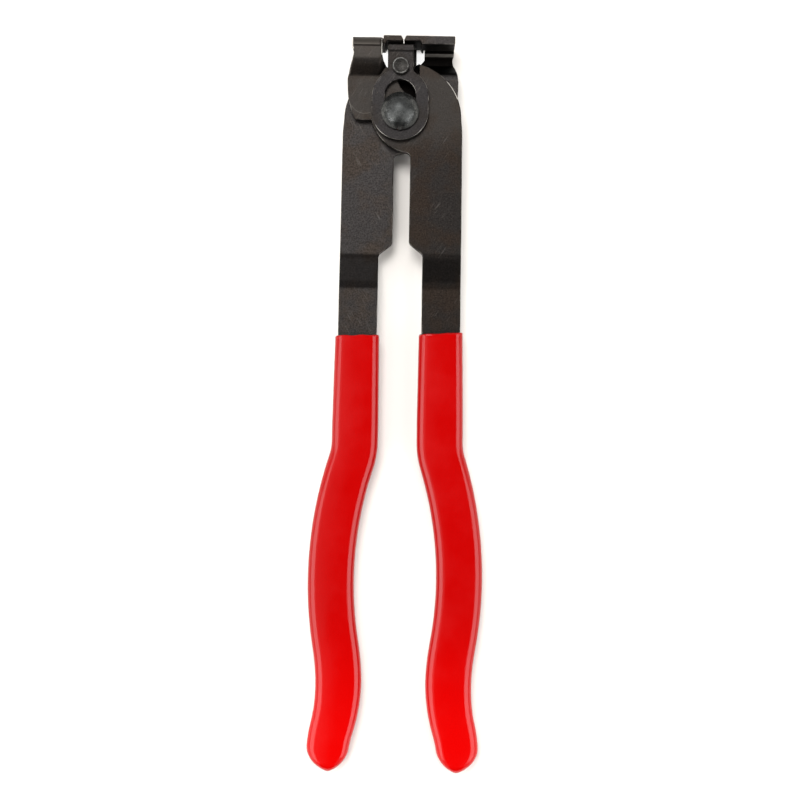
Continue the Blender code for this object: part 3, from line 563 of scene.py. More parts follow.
def jaw_fold():
    """The jaw's step, its flat and the 90 degree bend into the flange, from the flat run of the head."""
    slope = slope_length(JAW_STEP_RISE, JAW_STEP_ANGLE, BEND_RADIUS)
    bends = 2 * BEND_RADIUS * math.sin(JAW_STEP_ANGLE)
    step_end = JAW_STEP_START + bends + slope * math.cos(JAW_STEP_ANGLE)
    flat = JAW_REACH - PLATE / 2 - BEND_RADIUS - step_end
    last = 2 * math.ceil(JAW_STEP_ANGLE / BEND_STEP) + 1
    drawn = [0.0] + [DRAWN_RISE + (flat / 2 - DRAWN_RISE) * i / last for i in range(last + 1)]
    drop = LEVER_FACE - PLATE / 2 + JAW_STEP_RISE - BEND_RADIUS + JAW_FACE
    steps = [
        (0, JAW_STEP_ANGLE, BEND_RADIUS),
        (slope, 0, 0),
        (0, -JAW_STEP_ANGLE, BEND_RADIUS),
        (flat, 0, 0),
        (0, -math.pi / 2, BEND_RADIUS),
        (drop, 0, 0),
    ]
    return Fold(JAW_STEP_START, 1, JAW_STEP_START, steps, drawn)


def arm_fold():
    """The arm's shallow step from the blade to the middle of the tool."""
    slope = slope_length(LEVER_FACE - PLATE / 2, ARM_STEP_ANGLE, ARM_STEP_RADIUS)
    steps = [
        (0, -ARM_STEP_ANGLE, ARM_STEP_RADIUS),
        (slope, 0, 0),
        (0, ARM_STEP_ANGLE, ARM_STEP_RADIUS),
        (HANDLE_STRAIGHT, 0, 0),
    ]
    return Fold(ARM_STEP_START, -1, ARM_STEP_RADIUS, steps)


def drawn_share(x):
    """How far the jaw's step is drawn along at this place across the lever: all of it beside the notch."""
    rise = min(max((x + DRAWN_START) / (DRAWN_START - DRAWN_END), 0.0), 1.0)
    fall = min(max(-x / NOTCH_LIP[0], 0.0), 1.0)
    return math.prod(t * t * (3 - 2 * t) for t in (rise, fall))


# The handle's centreline as (length, turn) pieces, from the arm's start to the round end's centre
HANDLE_SWEEPS = (
    (HANDLE_STRAIGHT, 0),
    (ELBOW_RADIUS * ELBOW_ANGLE, ELBOW_ANGLE),
    (BELLY_RADIUS * (ELBOW_ANGLE + HANDLE_LEAN), -ELBOW_ANGLE - HANDLE_LEAN),
    (WAIST_APPROACH_RADIUS * WAIST_ANGLE, -WAIST_ANGLE),
    (WAIST_STRAIGHT, 0),
    (WAIST_RADIUS * WAIST_ANGLE, WAIST_ANGLE),
    (FLARE_RADIUS * FLARE_ANGLE, FLARE_ANGLE),
    (HANDLE_TAIL, -HANDLE_TAIL_ANGLE),
)
HANDLE_LENGTH = sum(length for length, _ in HANDLE_SWEEPS)


def along_handle(distance):
    """A point of the handle's centreline and the unit vector to its outer side there."""
    place, heading = Vector((HANDLE_X, ARM_START)), HANDLE_LEAN
    for length, turn in HANDLE_SWEEPS:
        part = min(distance, length)
        swept = turn * part / length
        chord = part if turn == 0 else 2 * length / turn * math.sin(swept / 2)
        middle = heading + swept / 2
        place = place + chord * Vector((math.sin(middle), -math.cos(middle)))
        heading += swept
        distance -= part
        if distance <= 0:
            break
    return place, Vector((math.cos(heading), math.sin(heading)))


def arm_outline():
    """The arm's two long sides and round end, from its inner side round to its outer side."""
    end = HANDLE_LENGTH - GRIP_END_WALL
    count = math.ceil(end / HANDLE_STEP)
    spots = [along_handle(end * i / count) for i in range(count + 1)]
    inner = [tuple(place - out * ARM_WIDTH / 2) for place, out in spots]
    outer = [tuple(place + out * ARM_WIDTH / 2) for place, out in reversed(spots)]
    place, out = spots[-1]
    facing = math.atan2(out.y, out.x)
    return inner + arc(place, ARM_WIDTH / 2, facing - math.pi, facing)[1:-1] + outer


def ramp(angle):
    """A point of the cam ramp and its direction: the roller's path in the turning lever, moved out."""
    pull = PRESSER_TRAVEL / OPEN_ANGLE
    reach = ROLLER_REACH - pull * angle
    centre = Vector((math.sin(angle), math.cos(angle))) * reach
    onward = Vector((math.cos(angle), -math.sin(angle))) * reach - centre.normalized() * pull
    side = Vector((onward.y, -onward.x)).normalized()
    return centre + side * (ROLLER_RADIUS + CLEARANCE), onward.normalized()


def notch_floor():
    """The arc that leads from the notch's sloping floor up into the low end of the cam ramp."""
    low, onward = ramp(OPEN_ANGLE + RAMP_OVERTRAVEL)
    centre = low + Vector((-onward.y, onward.x)) * NOTCH_FLOOR_RADIUS
    lowest = math.pi * 1.5 - NOTCH_FLOOR_SLOPE
    return arc(centre, NOTCH_FLOOR_RADIUS, lowest, math.pi + math.atan2(onward.x, -onward.y))


def shifted(points, offset):
    return [(x + offset, y) for x, y in points]


def unfolded(jaw, arm, x, y):
    """The developed place of a point of the finished lever, seen from the front."""
    if y < ARM_STEP_START:
        return arm.unfold(y)
    if y > 0 > x:
        return jaw.unfold(y, drawn_share(x))
    return y


def lever_outline(offset):
    """The lever's blank, anticlockwise, its jaw at -X. The offset moves it sideways on the rivet."""
    jaw, arm = jaw_fold(), arm_fold()
    inner = BLADE_INNER + offset
    wall = (ROLLER_REACH - PRESSER_TRAVEL) * math.sin(OPEN_ANGLE) + ROLLER_RADIUS + CLEARANCE

    # Inner edge of the blade, from the gap's rounded top down to the arm
    chin = Vector((CHIN_CENTRE[0] + offset, CHIN_CENTRE[1]))
    gap_top = chin.y - math.sqrt(CHIN_RADIUS**2 - (inner - chin.x) ** 2)
    foot = (TAB_EDGE_SHARES[0][0] * -JAW_HALF_WIDTH + offset, TAB_EDGE_SHARES[0][1] * JAW_REACH)
    chin_from = math.pi + math.asin((chin.y - foot[1]) / CHIN_RADIUS)
    chin_to = math.pi * 1.5 - math.asin((chin.x - inner + 2 * GAP_CORNER_RADIUS) / CHIN_RADIUS)
    chin_arc = arc(chin, CHIN_RADIUS, chin_from, chin_to)
    arm_side = shifted(arm_outline(), offset)
    step_top, step_bottom = (inner, BLADE_BOTTOM), (arm_side[0][0], CHAMFER_BOTTOM)
    edge = rounded(chin_arc[-1], (inner, gap_top), step_top, GAP_CORNER_RADIUS)
    edge += rounded((inner, gap_top), step_top, step_bottom, BLADE_CORNER_RADIUS)
    edge += rounded(step_top, step_bottom, arm_side[0], BLADE_CORNER_RADIUS)
    edge += arm_side

    # Outer edge of the blade, and the shoulder round to the notch
    edge.append((BLADE_OUTER + offset, BLADE_TOP))
    shoulder = Vector((SHOULDER_CENTRE[0] + offset, SHOULDER_CENTRE[1]))
    crest = Vector((wall, shoulder.y + math.sqrt(SHOULDER_RADIUS**2 - (wall - shoulder.x) ** 2)))
    last = math.acos((wall + 2 * SHOULDER_CORNER_RADIUS - shoulder.x) / SHOULDER_RADIUS)
    shoulder_arc = arc(shoulder, SHOULDER_RADIUS, 0, last)
    edge += shoulder_arc
    floor = notch_floor()
    toe = (wall, floor[0][1] - (wall - floor[0][0]) * math.tan(NOTCH_FLOOR_SLOPE))
    edge += rounded(shoulder_arc[-1], crest, toe, SHOULDER_CORNER_RADIUS)

    # Notch: straight wall, sloping floor, cam ramp and the lip beside the presser's neck
    edge += rounded(crest, toe, floor[0], NOTCH_RADIUS) + floor[:-1]
    sweep = OPEN_ANGLE + 2 * RAMP_OVERTRAVEL
    count = math.ceil(sweep / RAMP_STEP)
    edge += [tuple(ramp(OPEN_ANGLE + RAMP_OVERTRAVEL - sweep * i / count)[0]) for i in range(count + 1)]
    tab_inner = offset - TAB_INNER
    lip, throat = [(-x, y) for x, y in (NOTCH_LIP, NOTCH_THROAT)]
    edge += smooth_through([lip, throat, (tab_inner, NOTCH_TOP)])
    bent = [(x, unfolded(jaw, arm, x, y)) for x, y in edge]

    # Tab and flange. The finger lies beyond a slit, so it stays flat while the tab beside it bends.
    bend_end, free_edge = jaw.places()[-2:]
    finger_edge = bend_end - PLATE / 2 - BEND_RADIUS
    flange_end = offset - FLANGE_WIDTH_SHARE * JAW_HALF_WIDTH
    bent += [
        (tab_inner, bend_end + RELIEF_SLIT),
        (tab_inner + RELIEF_SLIT, bend_end + RELIEF_SLIT),
        (tab_inner + RELIEF_SLIT, finger_edge),
        (offset, finger_edge),
        (offset, free_edge),
        (flange_end, free_edge),
    ]
    tab_edge = [(offset - x * JAW_HALF_WIDTH, y * JAW_REACH) for x, y in reversed(TAB_EDGE_SHARES)]
    tab_side = smooth_through(tab_edge[:-1])
    tab_side += rounded(tab_edge[-2], foot, chin_arc[0], TAB_FOOT_RADIUS)
    bent += [(x, unfolded(jaw, arm, x, y)) for x, y in tab_side]
    return bent + chin_arc


def score(bm, at, axis):
    """Adds a line of edges across the blank, where it will bend."""
    normal = Vector([float(i == axis) for i in range(3)])
    geometry = [*bm.verts, *bm.edges, *bm.faces]
    bmesh.ops.bisect_plane(bm, geom=geometry, dist=CUT_WELD, plane_co=normal * at, plane_no=normal)


def finger_spot(x, across, offset):
    """Where a point of the finger lies along the tool and across it: thinned below, its tip bevelled."""
    share = min(max((x - offset + FINGER_ROOT) / FINGER_ROOT_SLOPE, 0.0), 1.0)
    depth = PLATE / 2 - across
    reach = JAW_REACH - depth * (1 + (FINGER_THICKNESS / PLATE - 1) * share)
    start = offset - TIP_BEVEL * 2
    tip = offset - TIP_GAP / 2 - TIP_BEVEL * (1 - depth / PLATE)
    if x > start:
        x = start + (x - start) * (tip - start) / (offset - start)
    return x, reach


def lever(name, side, finish):
    """One pressed lever. The back one is the same pressing turned over about the tool's long line."""
    offset = side * LEVER_OFFSET
    jaw, arm = jaw_fold(), arm_fold()
    bm = layered(lever_outline(offset), rim_layers(PLATE))
    for i in range(DRAWN_COLUMNS + 1):
        score(bm, (DRAWN_END - DRAWN_START) * i / DRAWN_COLUMNS - DRAWN_END, 0)
    for at in (FINGER_ROOT, FINGER_ROOT - FINGER_ROOT_SLOPE, TIP_BEVEL * 2):
        score(bm, offset - at, 0)
    for at in jaw.places()[1:-1] + arm.places()[1:-1]:
        score(bm, at, 1)
    bend_end = jaw.places()[-2]
    slit = offset - TAB_INNER + RELIEF_SLIT / 2
    for vert in bm.verts:
        x, y, across = vert.co
        height = across
        if y > bend_end - PLATE - BEND_RADIUS and x > slit:
            vert.co.x, vert.co.y = finger_spot(x, across, offset)
            height = JAW_STEP_RISE - BEND_RADIUS - (y - bend_end)
        elif y > 0 > x:
            vert.co.y, height = jaw.place(y, across, drawn_share(x))
        elif y < ARM_STEP_START:
            vert.co.y, height = arm.place(y, across)
        vert.co.z = LEVER_FACE - PLATE / 2 + height
    return finished(bm, name, finish, side < 0, [drill(name + "_hole", SLOT_RADIUS, LEVER_FACE + OVERRUN)])


GRAIN_SCALE = 1900.0
SPECK_SCALE = 1300.0
RUB_PATCH_SCALE = 260.0
SCUFF_PATCH_SCALE = 120.0
THREAD_SCALE = 2600.0
THREAD_STRETCH = (1.0, 0.06, 0.5)
# Rubbed steel for worn rims and the rub arc, which also paints a highlight line in the back jaw
RUBBED_STEEL_AND_PAINTED_SHEEN = (0.22, 0.205, 0.185, 1.0)
# Pale steel, painted as glints on the rims
PAINTED_GLINT_STEEL = (0.72, 0.70, 0.64, 1.0)
# Worn film, which also paints light on the head and on the jaw's bend
WORN_AND_PAINTED_LIGHT_FILM = (0.055, 0.049, 0.043, 1.0)
# Near-black film: painted shade in bends, slopes, creases and recesses
PAINTED_SHADE_FILM = (0.0012, 0.0010, 0.0009, 1.0)


def shader_group(name, inputs):
    """Starts a node group. An input's default is a number, a vector of three or a colour of four."""
    group = bpy.data.node_groups.new(name, "ShaderNodeTree")
    for label, default in inputs.items():
        kind = "Float" if isinstance(default, float) else {3: "Vector", 4: "Color"}[len(default)]
        socket = group.interface.new_socket(name=label, in_out="INPUT", socket_type="NodeSocket" + kind)
        socket.default_value = default
    return group, group.nodes.new("NodeGroupInput").outputs


def give_out(group, results):
    """Ends a node group with its named outputs. The one called Color is a colour, the rest are numbers."""
    for label in results:
        kind = "NodeSocketColor" if label == "Color" else "NodeSocketFloat"
        group.interface.new_socket(name=label, in_out="OUTPUT", socket_type=kind)
    ends = group.nodes.new("NodeGroupOutput").inputs
    for label, value in results.items():
        group.links.new(value, ends[label])
    return group


def few_dots(tree, place, scale, outer, inner, share):
    """A mask of round dots, in that share of a pattern's cells."""
    cells = add_node(tree, "TexVoronoi", {"Vector": place, "Scale": scale})
    chance = add_node(tree, "SeparateColor", {"Color": cells["Color"]})[0]
    near = ramp_between(tree, cells["Distance"], outer, inner)
    return times(tree, near, arithmetic(tree, "LESS_THAN", chance, share))


def oxide_film_group():
    """Black oxide on steel: brown and grey clouds, a fine sandy grain and a few paler specks."""
    group, given = shader_group("oxide_film", {
        "Place": (0, 0, 0), "Film": (0.04, 0.036, 0.03, 1), "Cloud": (0.06, 0.04, 0.03, 1),
        "Cloud Size": 90.0, "Speck": (0.06, 0.05, 0.04, 1), "Speck Share": 0.2,
    })
    place = given["Place"]
    cloud = ramp_between(group, noise_of(group, place, given["Cloud Size"], 4.0, 0.6), 0.42, 0.66)
    grain = noise_of(group, place, GRAIN_SCALE, 2.0, 0.7)
    tint = mixed(group, times(group, cloud, 0.75), given["Film"], given["Cloud"])
    sandy = on_vector(group, "MULTIPLY", tint, ramp_between(group, grain, 0.25, 0.75, 0.60, 1.40))
    dots = few_dots(group, place, SPECK_SCALE, 0.16, 0.05, given["Speck Share"])
    colour = mixed(group, dots, sandy, given["Speck"])
    return give_out(group, {"Color": colour, "Grain": grain, "Cloud": cloud})


def rim_rub_group():
    """Where handling has rubbed a rolled rim bright: the marked rims, broken up along their length."""
    group, given = shader_group("rim_rub", {"Place": (0, 0, 0), "Amount": 0.5})
    rolled = ramp_between(group, add_node(group, "Attribute", attribute_name="rim")["Fac"], 0.25, 0.85)
    broken = ramp_between(group, noise_of(group, given["Place"], RUB_PATCH_SCALE, 3.0, 0.7), 0.40, 0.66)
    return give_out(group, {"Mask": times(group, rolled, broken, given["Amount"]), "Rim": rolled})


def scuff_group():
    """Fine scuffs: thin bright threads of a noise stretched along one direction."""
    group, given = shader_group("scuffs", {"Place": (0, 0, 0), "Turn": 0.6, "Amount": 0.2})
    along = add_node(group, "VectorRotate", {"Vector": given["Place"], "Angle": given["Turn"]},
                     rotation_type="Z_AXIS")[0]
    threads = noise_of(group, on_vector(group, "MULTIPLY", along, THREAD_STRETCH), THREAD_SCALE, 1.0)
    thin = ramp_between(group, threads, 0.60, 0.72)
    patch = ramp_between(group, noise_of(group, given["Place"], SCUFF_PATCH_SCALE), 0.45, 0.62)
    return give_out(group, {"Mask": times(group, thin, patch, given["Amount"])})


def grouped(tree, group, values):
    """Places a node group with this material's own values."""
    return add_node(tree, "Group", values, node_tree=group)


def shaded(tree, out, look, height, bump, depth):
    """Ends a material with its own shader, which a height bumps. The look holds its other values."""
    relief = add_node(tree, "Bump", {"Strength": bump, "Distance": depth, "Height": height})[0]
    tree.links.new(add_node(tree, "BsdfPrincipled", {**look, "Normal": relief})[0], out)


OXIDE_FILM, RIM_RUB, SCUFFS = oxide_film_group(), rim_rub_group(), scuff_group()


def oxide_steel(name, film, cloud, zones=(), glint_rims=(), rub_arc=(), speck_share=0.25, rub=0.5,
                scuff=0.07, scuff_turn=0.6, roughness=0.50):
    """Black oxide steel, with its film changed and painted glints on its rims inside spans, all in mm.

    Painted shade, painted light and wear change the film in each (spans, soft, share, tone) zone, and a
    painted glint of pale steel lights the rims in each (spans, soft, share) box. The rub arc is (centre,
    radius, width, spans, share).
    rims in each (spans, soft, share) box. The rub arc is (centre, radius, width, spans, share).
    """
    made, tree, out, place = new_material(name)
    film_look = grouped(tree, OXIDE_FILM, {"Place": place, "Film": film, "Cloud": cloud,
                                           "Speck Share": speck_share})
    rims = grouped(tree, RIM_RUB, {"Place": place, "Amount": rub})
    scuffed = grouped(tree, SCUFFS, {"Place": place, "Turn": scuff_turn, "Amount": scuff})["Mask"]
    worn = arithmetic(tree, "MAXIMUM", rims["Mask"], scuffed)
    colour = film_look["Color"]
    # Each zone mixes in painted shade, painted light or worn film; no wear shows under painted shade
    for spans, soft, share, tone in zones:
        zone = times(tree, inside(tree, place, spans, soft), share)
        colour = mixed(tree, zone, colour, tone)
        if tone is PAINTED_SHADE_FILM:
            worn = times(tree, worn, arithmetic(tree, "SUBTRACT", 1.0, zone))
    colour = mixed(tree, worn, colour, RUBBED_STEEL_AND_PAINTED_SHEEN)
    # Painted glints, highlights of pale steel on the rims
    for spans, soft, share in glint_rims:
        painted_glint = times(tree, inside(tree, place, spans, soft), share, rims["Rim"])
        colour = mixed(tree, painted_glint, colour, PAINTED_GLINT_STEEL)
    if rub_arc:
        (x, y), radius, width, spans, share = rub_arc
        flat = on_vector(tree, "MULTIPLY", place, (1, 1, 0))
        spoke = on_vector(tree, "DISTANCE", flat, (x * MM, y * MM, 0))
        off = arithmetic(tree, "ABSOLUTE", arithmetic(tree, "SUBTRACT", spoke, radius * MM))
        line = ramp_between(tree, off, width * MM, 0.0)
        rubbed = times(tree, line, share, inside(tree, place, spans, width * 4))
        colour = mixed(tree, rubbed, colour, RUBBED_STEEL_AND_PAINTED_SHEEN)
    rough = ramp_between(tree, film_look["Cloud"], 0.0, 1.0, roughness, roughness + 0.08)
    rough = arithmetic(tree, "SUBTRACT", rough, times(tree, worn, 0.14))
    look = {"Base Color": colour, "Roughness": rough, "Metallic": 1.0}
    shaded(tree, out, look, film_look["Grain"], 0.25, 0.05 * MM)
    return made


# Where painted shade, painted light and wear change the levers' film, and where painted glints light their
# rims, in mm
ARM_STEP = ARM_STEP_START / MM
JAW_STEP = JAW_STEP_START / MM
HEAD = ANY, (-3, FAR), ANY
ARM_BEND = ANY, (ARM_STEP - 10.0, ARM_STEP + 0.6), ANY
JAW_SLOPE = (-FAR, -4.0), (JAW_STEP + 0.6, JAW_STEP + 5.4), ANY
JAW_FLAT = (-FAR, -7.4), (17.9, 21.1), (5, FAR)
JAW_BEND = (-FAR, -7.4), (22.0, 24.0), (5, FAR)
JAW_CREASE = (-FAR, 0), (21.35, 21.7), ANY
SHOULDER_GLINT = (15.6, FAR), (5.2, 10.2), (0, FAR)
TAB_GLINT = (-7.7, -6.4), (18.6, 23.8), (3, FAR)
TAB_SIDE_GLINT = (-FAR, -15.4), (20.6, 23.8), (4, FAR)
TAB_RUB = (-FAR, -10.2), (-2, 1.8), (0, FAR)
# Painted light: HEAD makes the head paler and JAW_BEND lightens the top of the jaw's bend. Painted shade:
# ARM_BEND, JAW_SLOPE and JAW_CREASE darken the arm's step, the jaw's step slope and its crease. JAW_FLAT is
# scratched wear. The glints are painted highlights on the rims, and the rub arc is a worn mark.
front_finish = oxide_steel(
    "front_lever_oxide", (0.0134, 0.0119, 0.0110, 1), (0.0200, 0.0143, 0.0108, 1),
    zones=[(HEAD, 14, 0.17, WORN_AND_PAINTED_LIGHT_FILM), (ARM_BEND, 1.2, 0.45, PAINTED_SHADE_FILM),
           (JAW_SLOPE, 1.0, 0.15, PAINTED_SHADE_FILM), (JAW_FLAT, 0.8, 0.12, WORN_AND_PAINTED_LIGHT_FILM),
           (JAW_BEND, 0.4, 0.75, WORN_AND_PAINTED_LIGHT_FILM), (JAW_CREASE, 0.25, 0.75, PAINTED_SHADE_FILM)],
    glint_rims=[(SHOULDER_GLINT, 0.8, 0.8), (TAB_GLINT, 0.4, 0.9), (TAB_SIDE_GLINT, 0.6, 0.8)],
    rub_arc=((-11.9, 4.6), 5.1, 0.17, TAB_RUB, 0.14),
)

# Painted highlight: a lighter line in the back jaw's hollow, and glints on the flange's rims. Painted
# shade: the arm's step, the jaw's hollow, the flange's underside and the face seen through the notch.
JAW_PAINTED_HIGHLIGHT = (6.0, FAR), (20.7, 21.4), (-FAR, 0)
BACK_SLOPE = (4.0, FAR), (JAW_STEP + 2.0, 20.0), (-5, FAR)
BACK_FLANGE = (-1.0, FAR), (21.7, 23.6), (-5, 6.4)
BACK_NOTCH = (-8, 8), (3, 13), (-0.5, 0)
FLANGE_GLINT = (15.0, FAR), (21.9, 24.2), (5, FAR)
FLANGE_LINE = (6.5, FAR), (22.0, 23.0), (6.4, FAR)
back_finish = oxide_steel(
    "back_lever_oxide", (0.0215, 0.0197, 0.0190, 1), (0.0300, 0.0232, 0.0185, 1), scuff_turn=-0.5,
    zones=[(ARM_BEND, 1.2, 0.75, PAINTED_SHADE_FILM), (JAW_PAINTED_HIGHLIGHT, 0.3, 0.6, RUBBED_STEEL_AND_PAINTED_SHEEN),
           (BACK_SLOPE, 0.6, 0.95, PAINTED_SHADE_FILM), (BACK_FLANGE, 0.4, 0.95, PAINTED_SHADE_FILM),
           (BACK_NOTCH, 0.3, 0.97, PAINTED_SHADE_FILM)],
    glint_rims=[(FLANGE_GLINT, 0.5, 0.12), (FLANGE_LINE, 0.3, 0.03)],
)
for lever_name, lever_side, lever_finish, lever_body in (
    ("front_lever", 1, front_finish, "front"),
    ("back_lever", -1, back_finish, "back"),
):
    plate = lever(lever_name + "_pressing", lever_side, lever_finish)
    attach(plate, lever_body)
    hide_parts(lever_name)

# Presser. Two slotted plates of 1.8 mm steel, black oxide finished. The front one is key-shaped, and its
# end is folded back between the jaws as the foot that squeezes the clamp's ear.

PRESSER_PLATE = 1.8 * MM
PRESSER_FACE = LEVER_FACE + CLEARANCE + PRESSER_PLATE
PRESSER_RIM = 0.26 * MM
BACK_NECK_SHOW = 1.0 * MM
BACK_SLOT = PRESSER_TRAVEL + 2 * CLEARANCE
NECK_CORNER_RADIUS = 1.6 * MM
FOOT_BEND_RADIUS = 1.0 * MM
FOOT_CORNER_POWER = 7
FOOT_CREASE = 20.3 * MM
CREASE_RADIUS = 0.5 * MM
CREASE_DEPTH = 0.09 * MM
SMALL_SHANK_RADIUS = 1.5 * MM


def ring_outline(half):
    """One half of the plate's ring, from its foot up to where the neck's fillet ends."""
    fillet = NECK_CORNER_RADIUS
    centre_x = half + fillet
    centre_y = SLOT_LENGTH + math.sqrt((RING_RADIUS + fillet) ** 2 - centre_x**2)
    meet = math.atan2(centre_y - SLOT_LENGTH, centre_x)
    side = arc((0, 0), RING_RADIUS, -math.pi / 2, 0) + arc((0, SLOT_LENGTH), RING_RADIUS, 0, meet)
    return side + arc((centre_x, centre_y), fillet, meet + math.pi, math.pi)[1:]


def presser_outline(top, show=0.0):
    """The key-shaped plate, anticlockwise. Its neck may show past the other plate's right side."""
    half = NECK_WIDTH / 2
    left = [*ring_outline(half), (half, top)]
    return [*ring_outline(half + show), (half + show, top)] + [(-x, y) for x, y in reversed(left[1:])]


def slot_cutter(name, level, length):
    """Cuts the slot and rolls its two rims outwards, which marks them to wear."""
    right = arc((0, 0), SLOT_RADIUS, -math.pi / 2, 0)
    right += arc((0, length), SLOT_RADIUS, 0, math.pi / 2)
    slot = right + [(-x, y) for x, y in reversed(right[1:-1])]
    past = (PRESSER_PLATE / 2 + OVERRUN, -PRESSER_RIM, 0.0)
    bm = layered(slot, rim_layers(PRESSER_PLATE, PRESSER_RIM, -1, past))
    bmesh.ops.translate(bm, verts=bm.verts, vec=(0, 0, level))
    return finished(bm, name)


def crease_cutter(name, level):
    """A round bar across the neck that presses the shallow crease where the foot begins."""
    bm = layered(arc((0, 0), CREASE_RADIUS, 0, math.tau)[:-1], [(-NECK_WIDTH, 0, 0), (NECK_WIDTH, 0, 0)])
    bmesh.ops.rotate(bm, verts=bm.verts, matrix=Matrix.Rotation(math.pi / 2, 3, "Y"))
    above = level + PRESSER_PLATE / 2 + CREASE_RADIUS - CREASE_DEPTH
    bmesh.ops.translate(bm, verts=bm.verts, vec=(0, FOOT_CREASE, above))
    return finished(bm, name)


def squared(spot, start):
    """The outer side of the foot's bend pressed out almost square. The spot is (along, height)."""
    centre = Vector((start, -FOOT_BEND_RADIUS))
    out = Vector(spot) - centre
    if min(out) <= 0 or out.length <= FOOT_BEND_RADIUS:
        return spot
    square = sum(side**FOOT_CORNER_POWER for side in out) ** (1 / FOOT_CORNER_POWER)
    share = (out.length - FOOT_BEND_RADIUS) / (PRESSER_PLATE / 2)
    return centre + out * (1 + (out.length / square - 1) * share)


def presser_plate(name, level, folded, finish):
    """One slotted plate. The front one is scored, folded down into the foot and creased."""
    top, show, length = PRESSER_REACH, BACK_NECK_SHOW, BACK_SLOT
    if folded:
        start = PRESSER_REACH - PRESSER_PLATE / 2 - FOOT_BEND_RADIUS
        foot = level - FOOT_BEND_RADIUS + LEVER_FACE
        fold = Fold(start, 1, start, [(0, -math.pi / 2, FOOT_BEND_RADIUS), (foot, 0, 0)])
        top, show, length = fold.places()[-1], 0.0, SLOT_LENGTH + SLOT_HEADROOM
    bm = layered(presser_outline(top, show), rim_layers(PRESSER_PLATE, PRESSER_RIM))
    if folded:
        for at in fold.places()[1:-1]:
            score(bm, at, 1)
    for vert in bm.verts:
        height = vert.co.z
        if folded and vert.co.y > 0:
            vert.co.y, height = squared(fold.place(vert.co.y, vert.co.z), start)
        vert.co.z = level + height
    hole = drill(name + "_hole", SMALL_SHANK_RADIUS + CLEARANCE, PRESSER_PLATE / 2 + OVERRUN, level,
                 ROLLER_REACH)
    cutters = [slot_cutter(name + "_slot", level, length), hole]
    if folded:
        cutters.append(crease_cutter(name + "_crease", level))
    return finished(bm, name, finish, cutters=cutters)


# Painted shade darkens the foot's crease, and the slot and ring shines are painted highlights on the rims
CREASE_ZONE = ANY, (FOOT_CREASE / MM - 0.2, FOOT_CREASE / MM + 0.2), (0, FAR)
SLOT_SHINE = (0.5, 5.6), (6.5, 11.5), (0, FAR)
RING_SHINE = (-8, 8), (-FAR, -5.0), (0, FAR)
presser_finish = oxide_steel(
    "presser_oxide", (0.0142, 0.0131, 0.0130, 1), (0.0185, 0.0158, 0.0140, 1),
    speck_share=0.1, rub=1.0, scuff=0.1, roughness=0.46, zones=[(CREASE_ZONE, 0.3, 0.6, PAINTED_SHADE_FILM)],
    glint_rims=[(SLOT_SHINE, 0.6, 0.12), (RING_SHINE, 1.5, 0.06)],
)
presser_level = PRESSER_FACE - PRESSER_PLATE / 2
for presser_name, at_level, is_folded in (
    ("front_presser_plate", presser_level, True),
    ("back_presser_plate", -presser_level, False),
):
    plate = presser_plate(presser_name + "_pressing", at_level, is_folded, presser_finish)
    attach(plate, "presser")
    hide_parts(presser_name)

# Small rivet and roller. A turned rivet with a flat head and a raised rim joins the two presser plates,
# and the roller on its shank runs in the levers' notches.

SMALL_HEAD_RADIUS = 2.8 * MM
SMALL_HEAD_HEIGHT = 1.4 * MM
SMALL_HEAD_RIM = 0.35 * MM
SMALL_HEAD_SINK = 0.14 * MM
SMALL_DISH = SMALL_HEAD_RADIUS - 2.2 * SMALL_HEAD_RIM
SMALL_DISH_EDGE = 0.4 * SMALL_HEAD_RIM
SMALL_DISH_RISE = 0.7 * SMALL_HEAD_SINK
SMALL_TAIL_RADIUS = 2.4 * MM
SMALL_TAIL_HEIGHT = 0.9 * MM
SMALL_TAIL_EASE = 0.28 * MM
TURNED_SPECK = (0.08, 0.08, 0.075, 1)
TURNED_RUB = (0.14, 0.138, 0.13, 1)
TOOL_RING_SCALE = 5200.0


def turned_steel(name, film, roughness, ring_wear, centre_y=0.0):
    """Turned and oxidised steel: faint rings from the tool, cloudy tarnish and rubbed rims."""
    made, tree, out, place = new_material(name)
    centred = on_vector(tree, "ADD", place, (0, -centre_y, 0))
    radius = on_vector(tree, "LENGTH", on_vector(tree, "MULTIPLY", centred, (1, 1, 0)))
    rings = add_node(tree, "TexNoise", {"W": radius, "Scale": TOOL_RING_SCALE}, noise_dimensions="1D")
    film_look = grouped(tree, OXIDE_FILM, {
        "Place": centred, "Film": film, "Cloud": tuple(c * 1.5 for c in film[:3]) + (1,),
        "Cloud Size": 420.0, "Speck Share": 0.15, "Speck": TURNED_SPECK,
    })
    rubbed = grouped(tree, RIM_RUB, {"Place": place, "Amount": ring_wear})["Mask"]
    colour = mixed(tree, rubbed, film_look["Color"], TURNED_RUB)
    rough = ramp_between(tree, film_look["Cloud"], 0.0, 1.0, roughness, roughness + 0.12)
    height = arithmetic(tree, "ADD", rings["Fac"], film_look["Grain"])
    shaded(tree, out, {"Base Color": colour, "Roughness": rough, "Metallic": 1.0}, height, 0.35, 0.03 * MM)
    return made


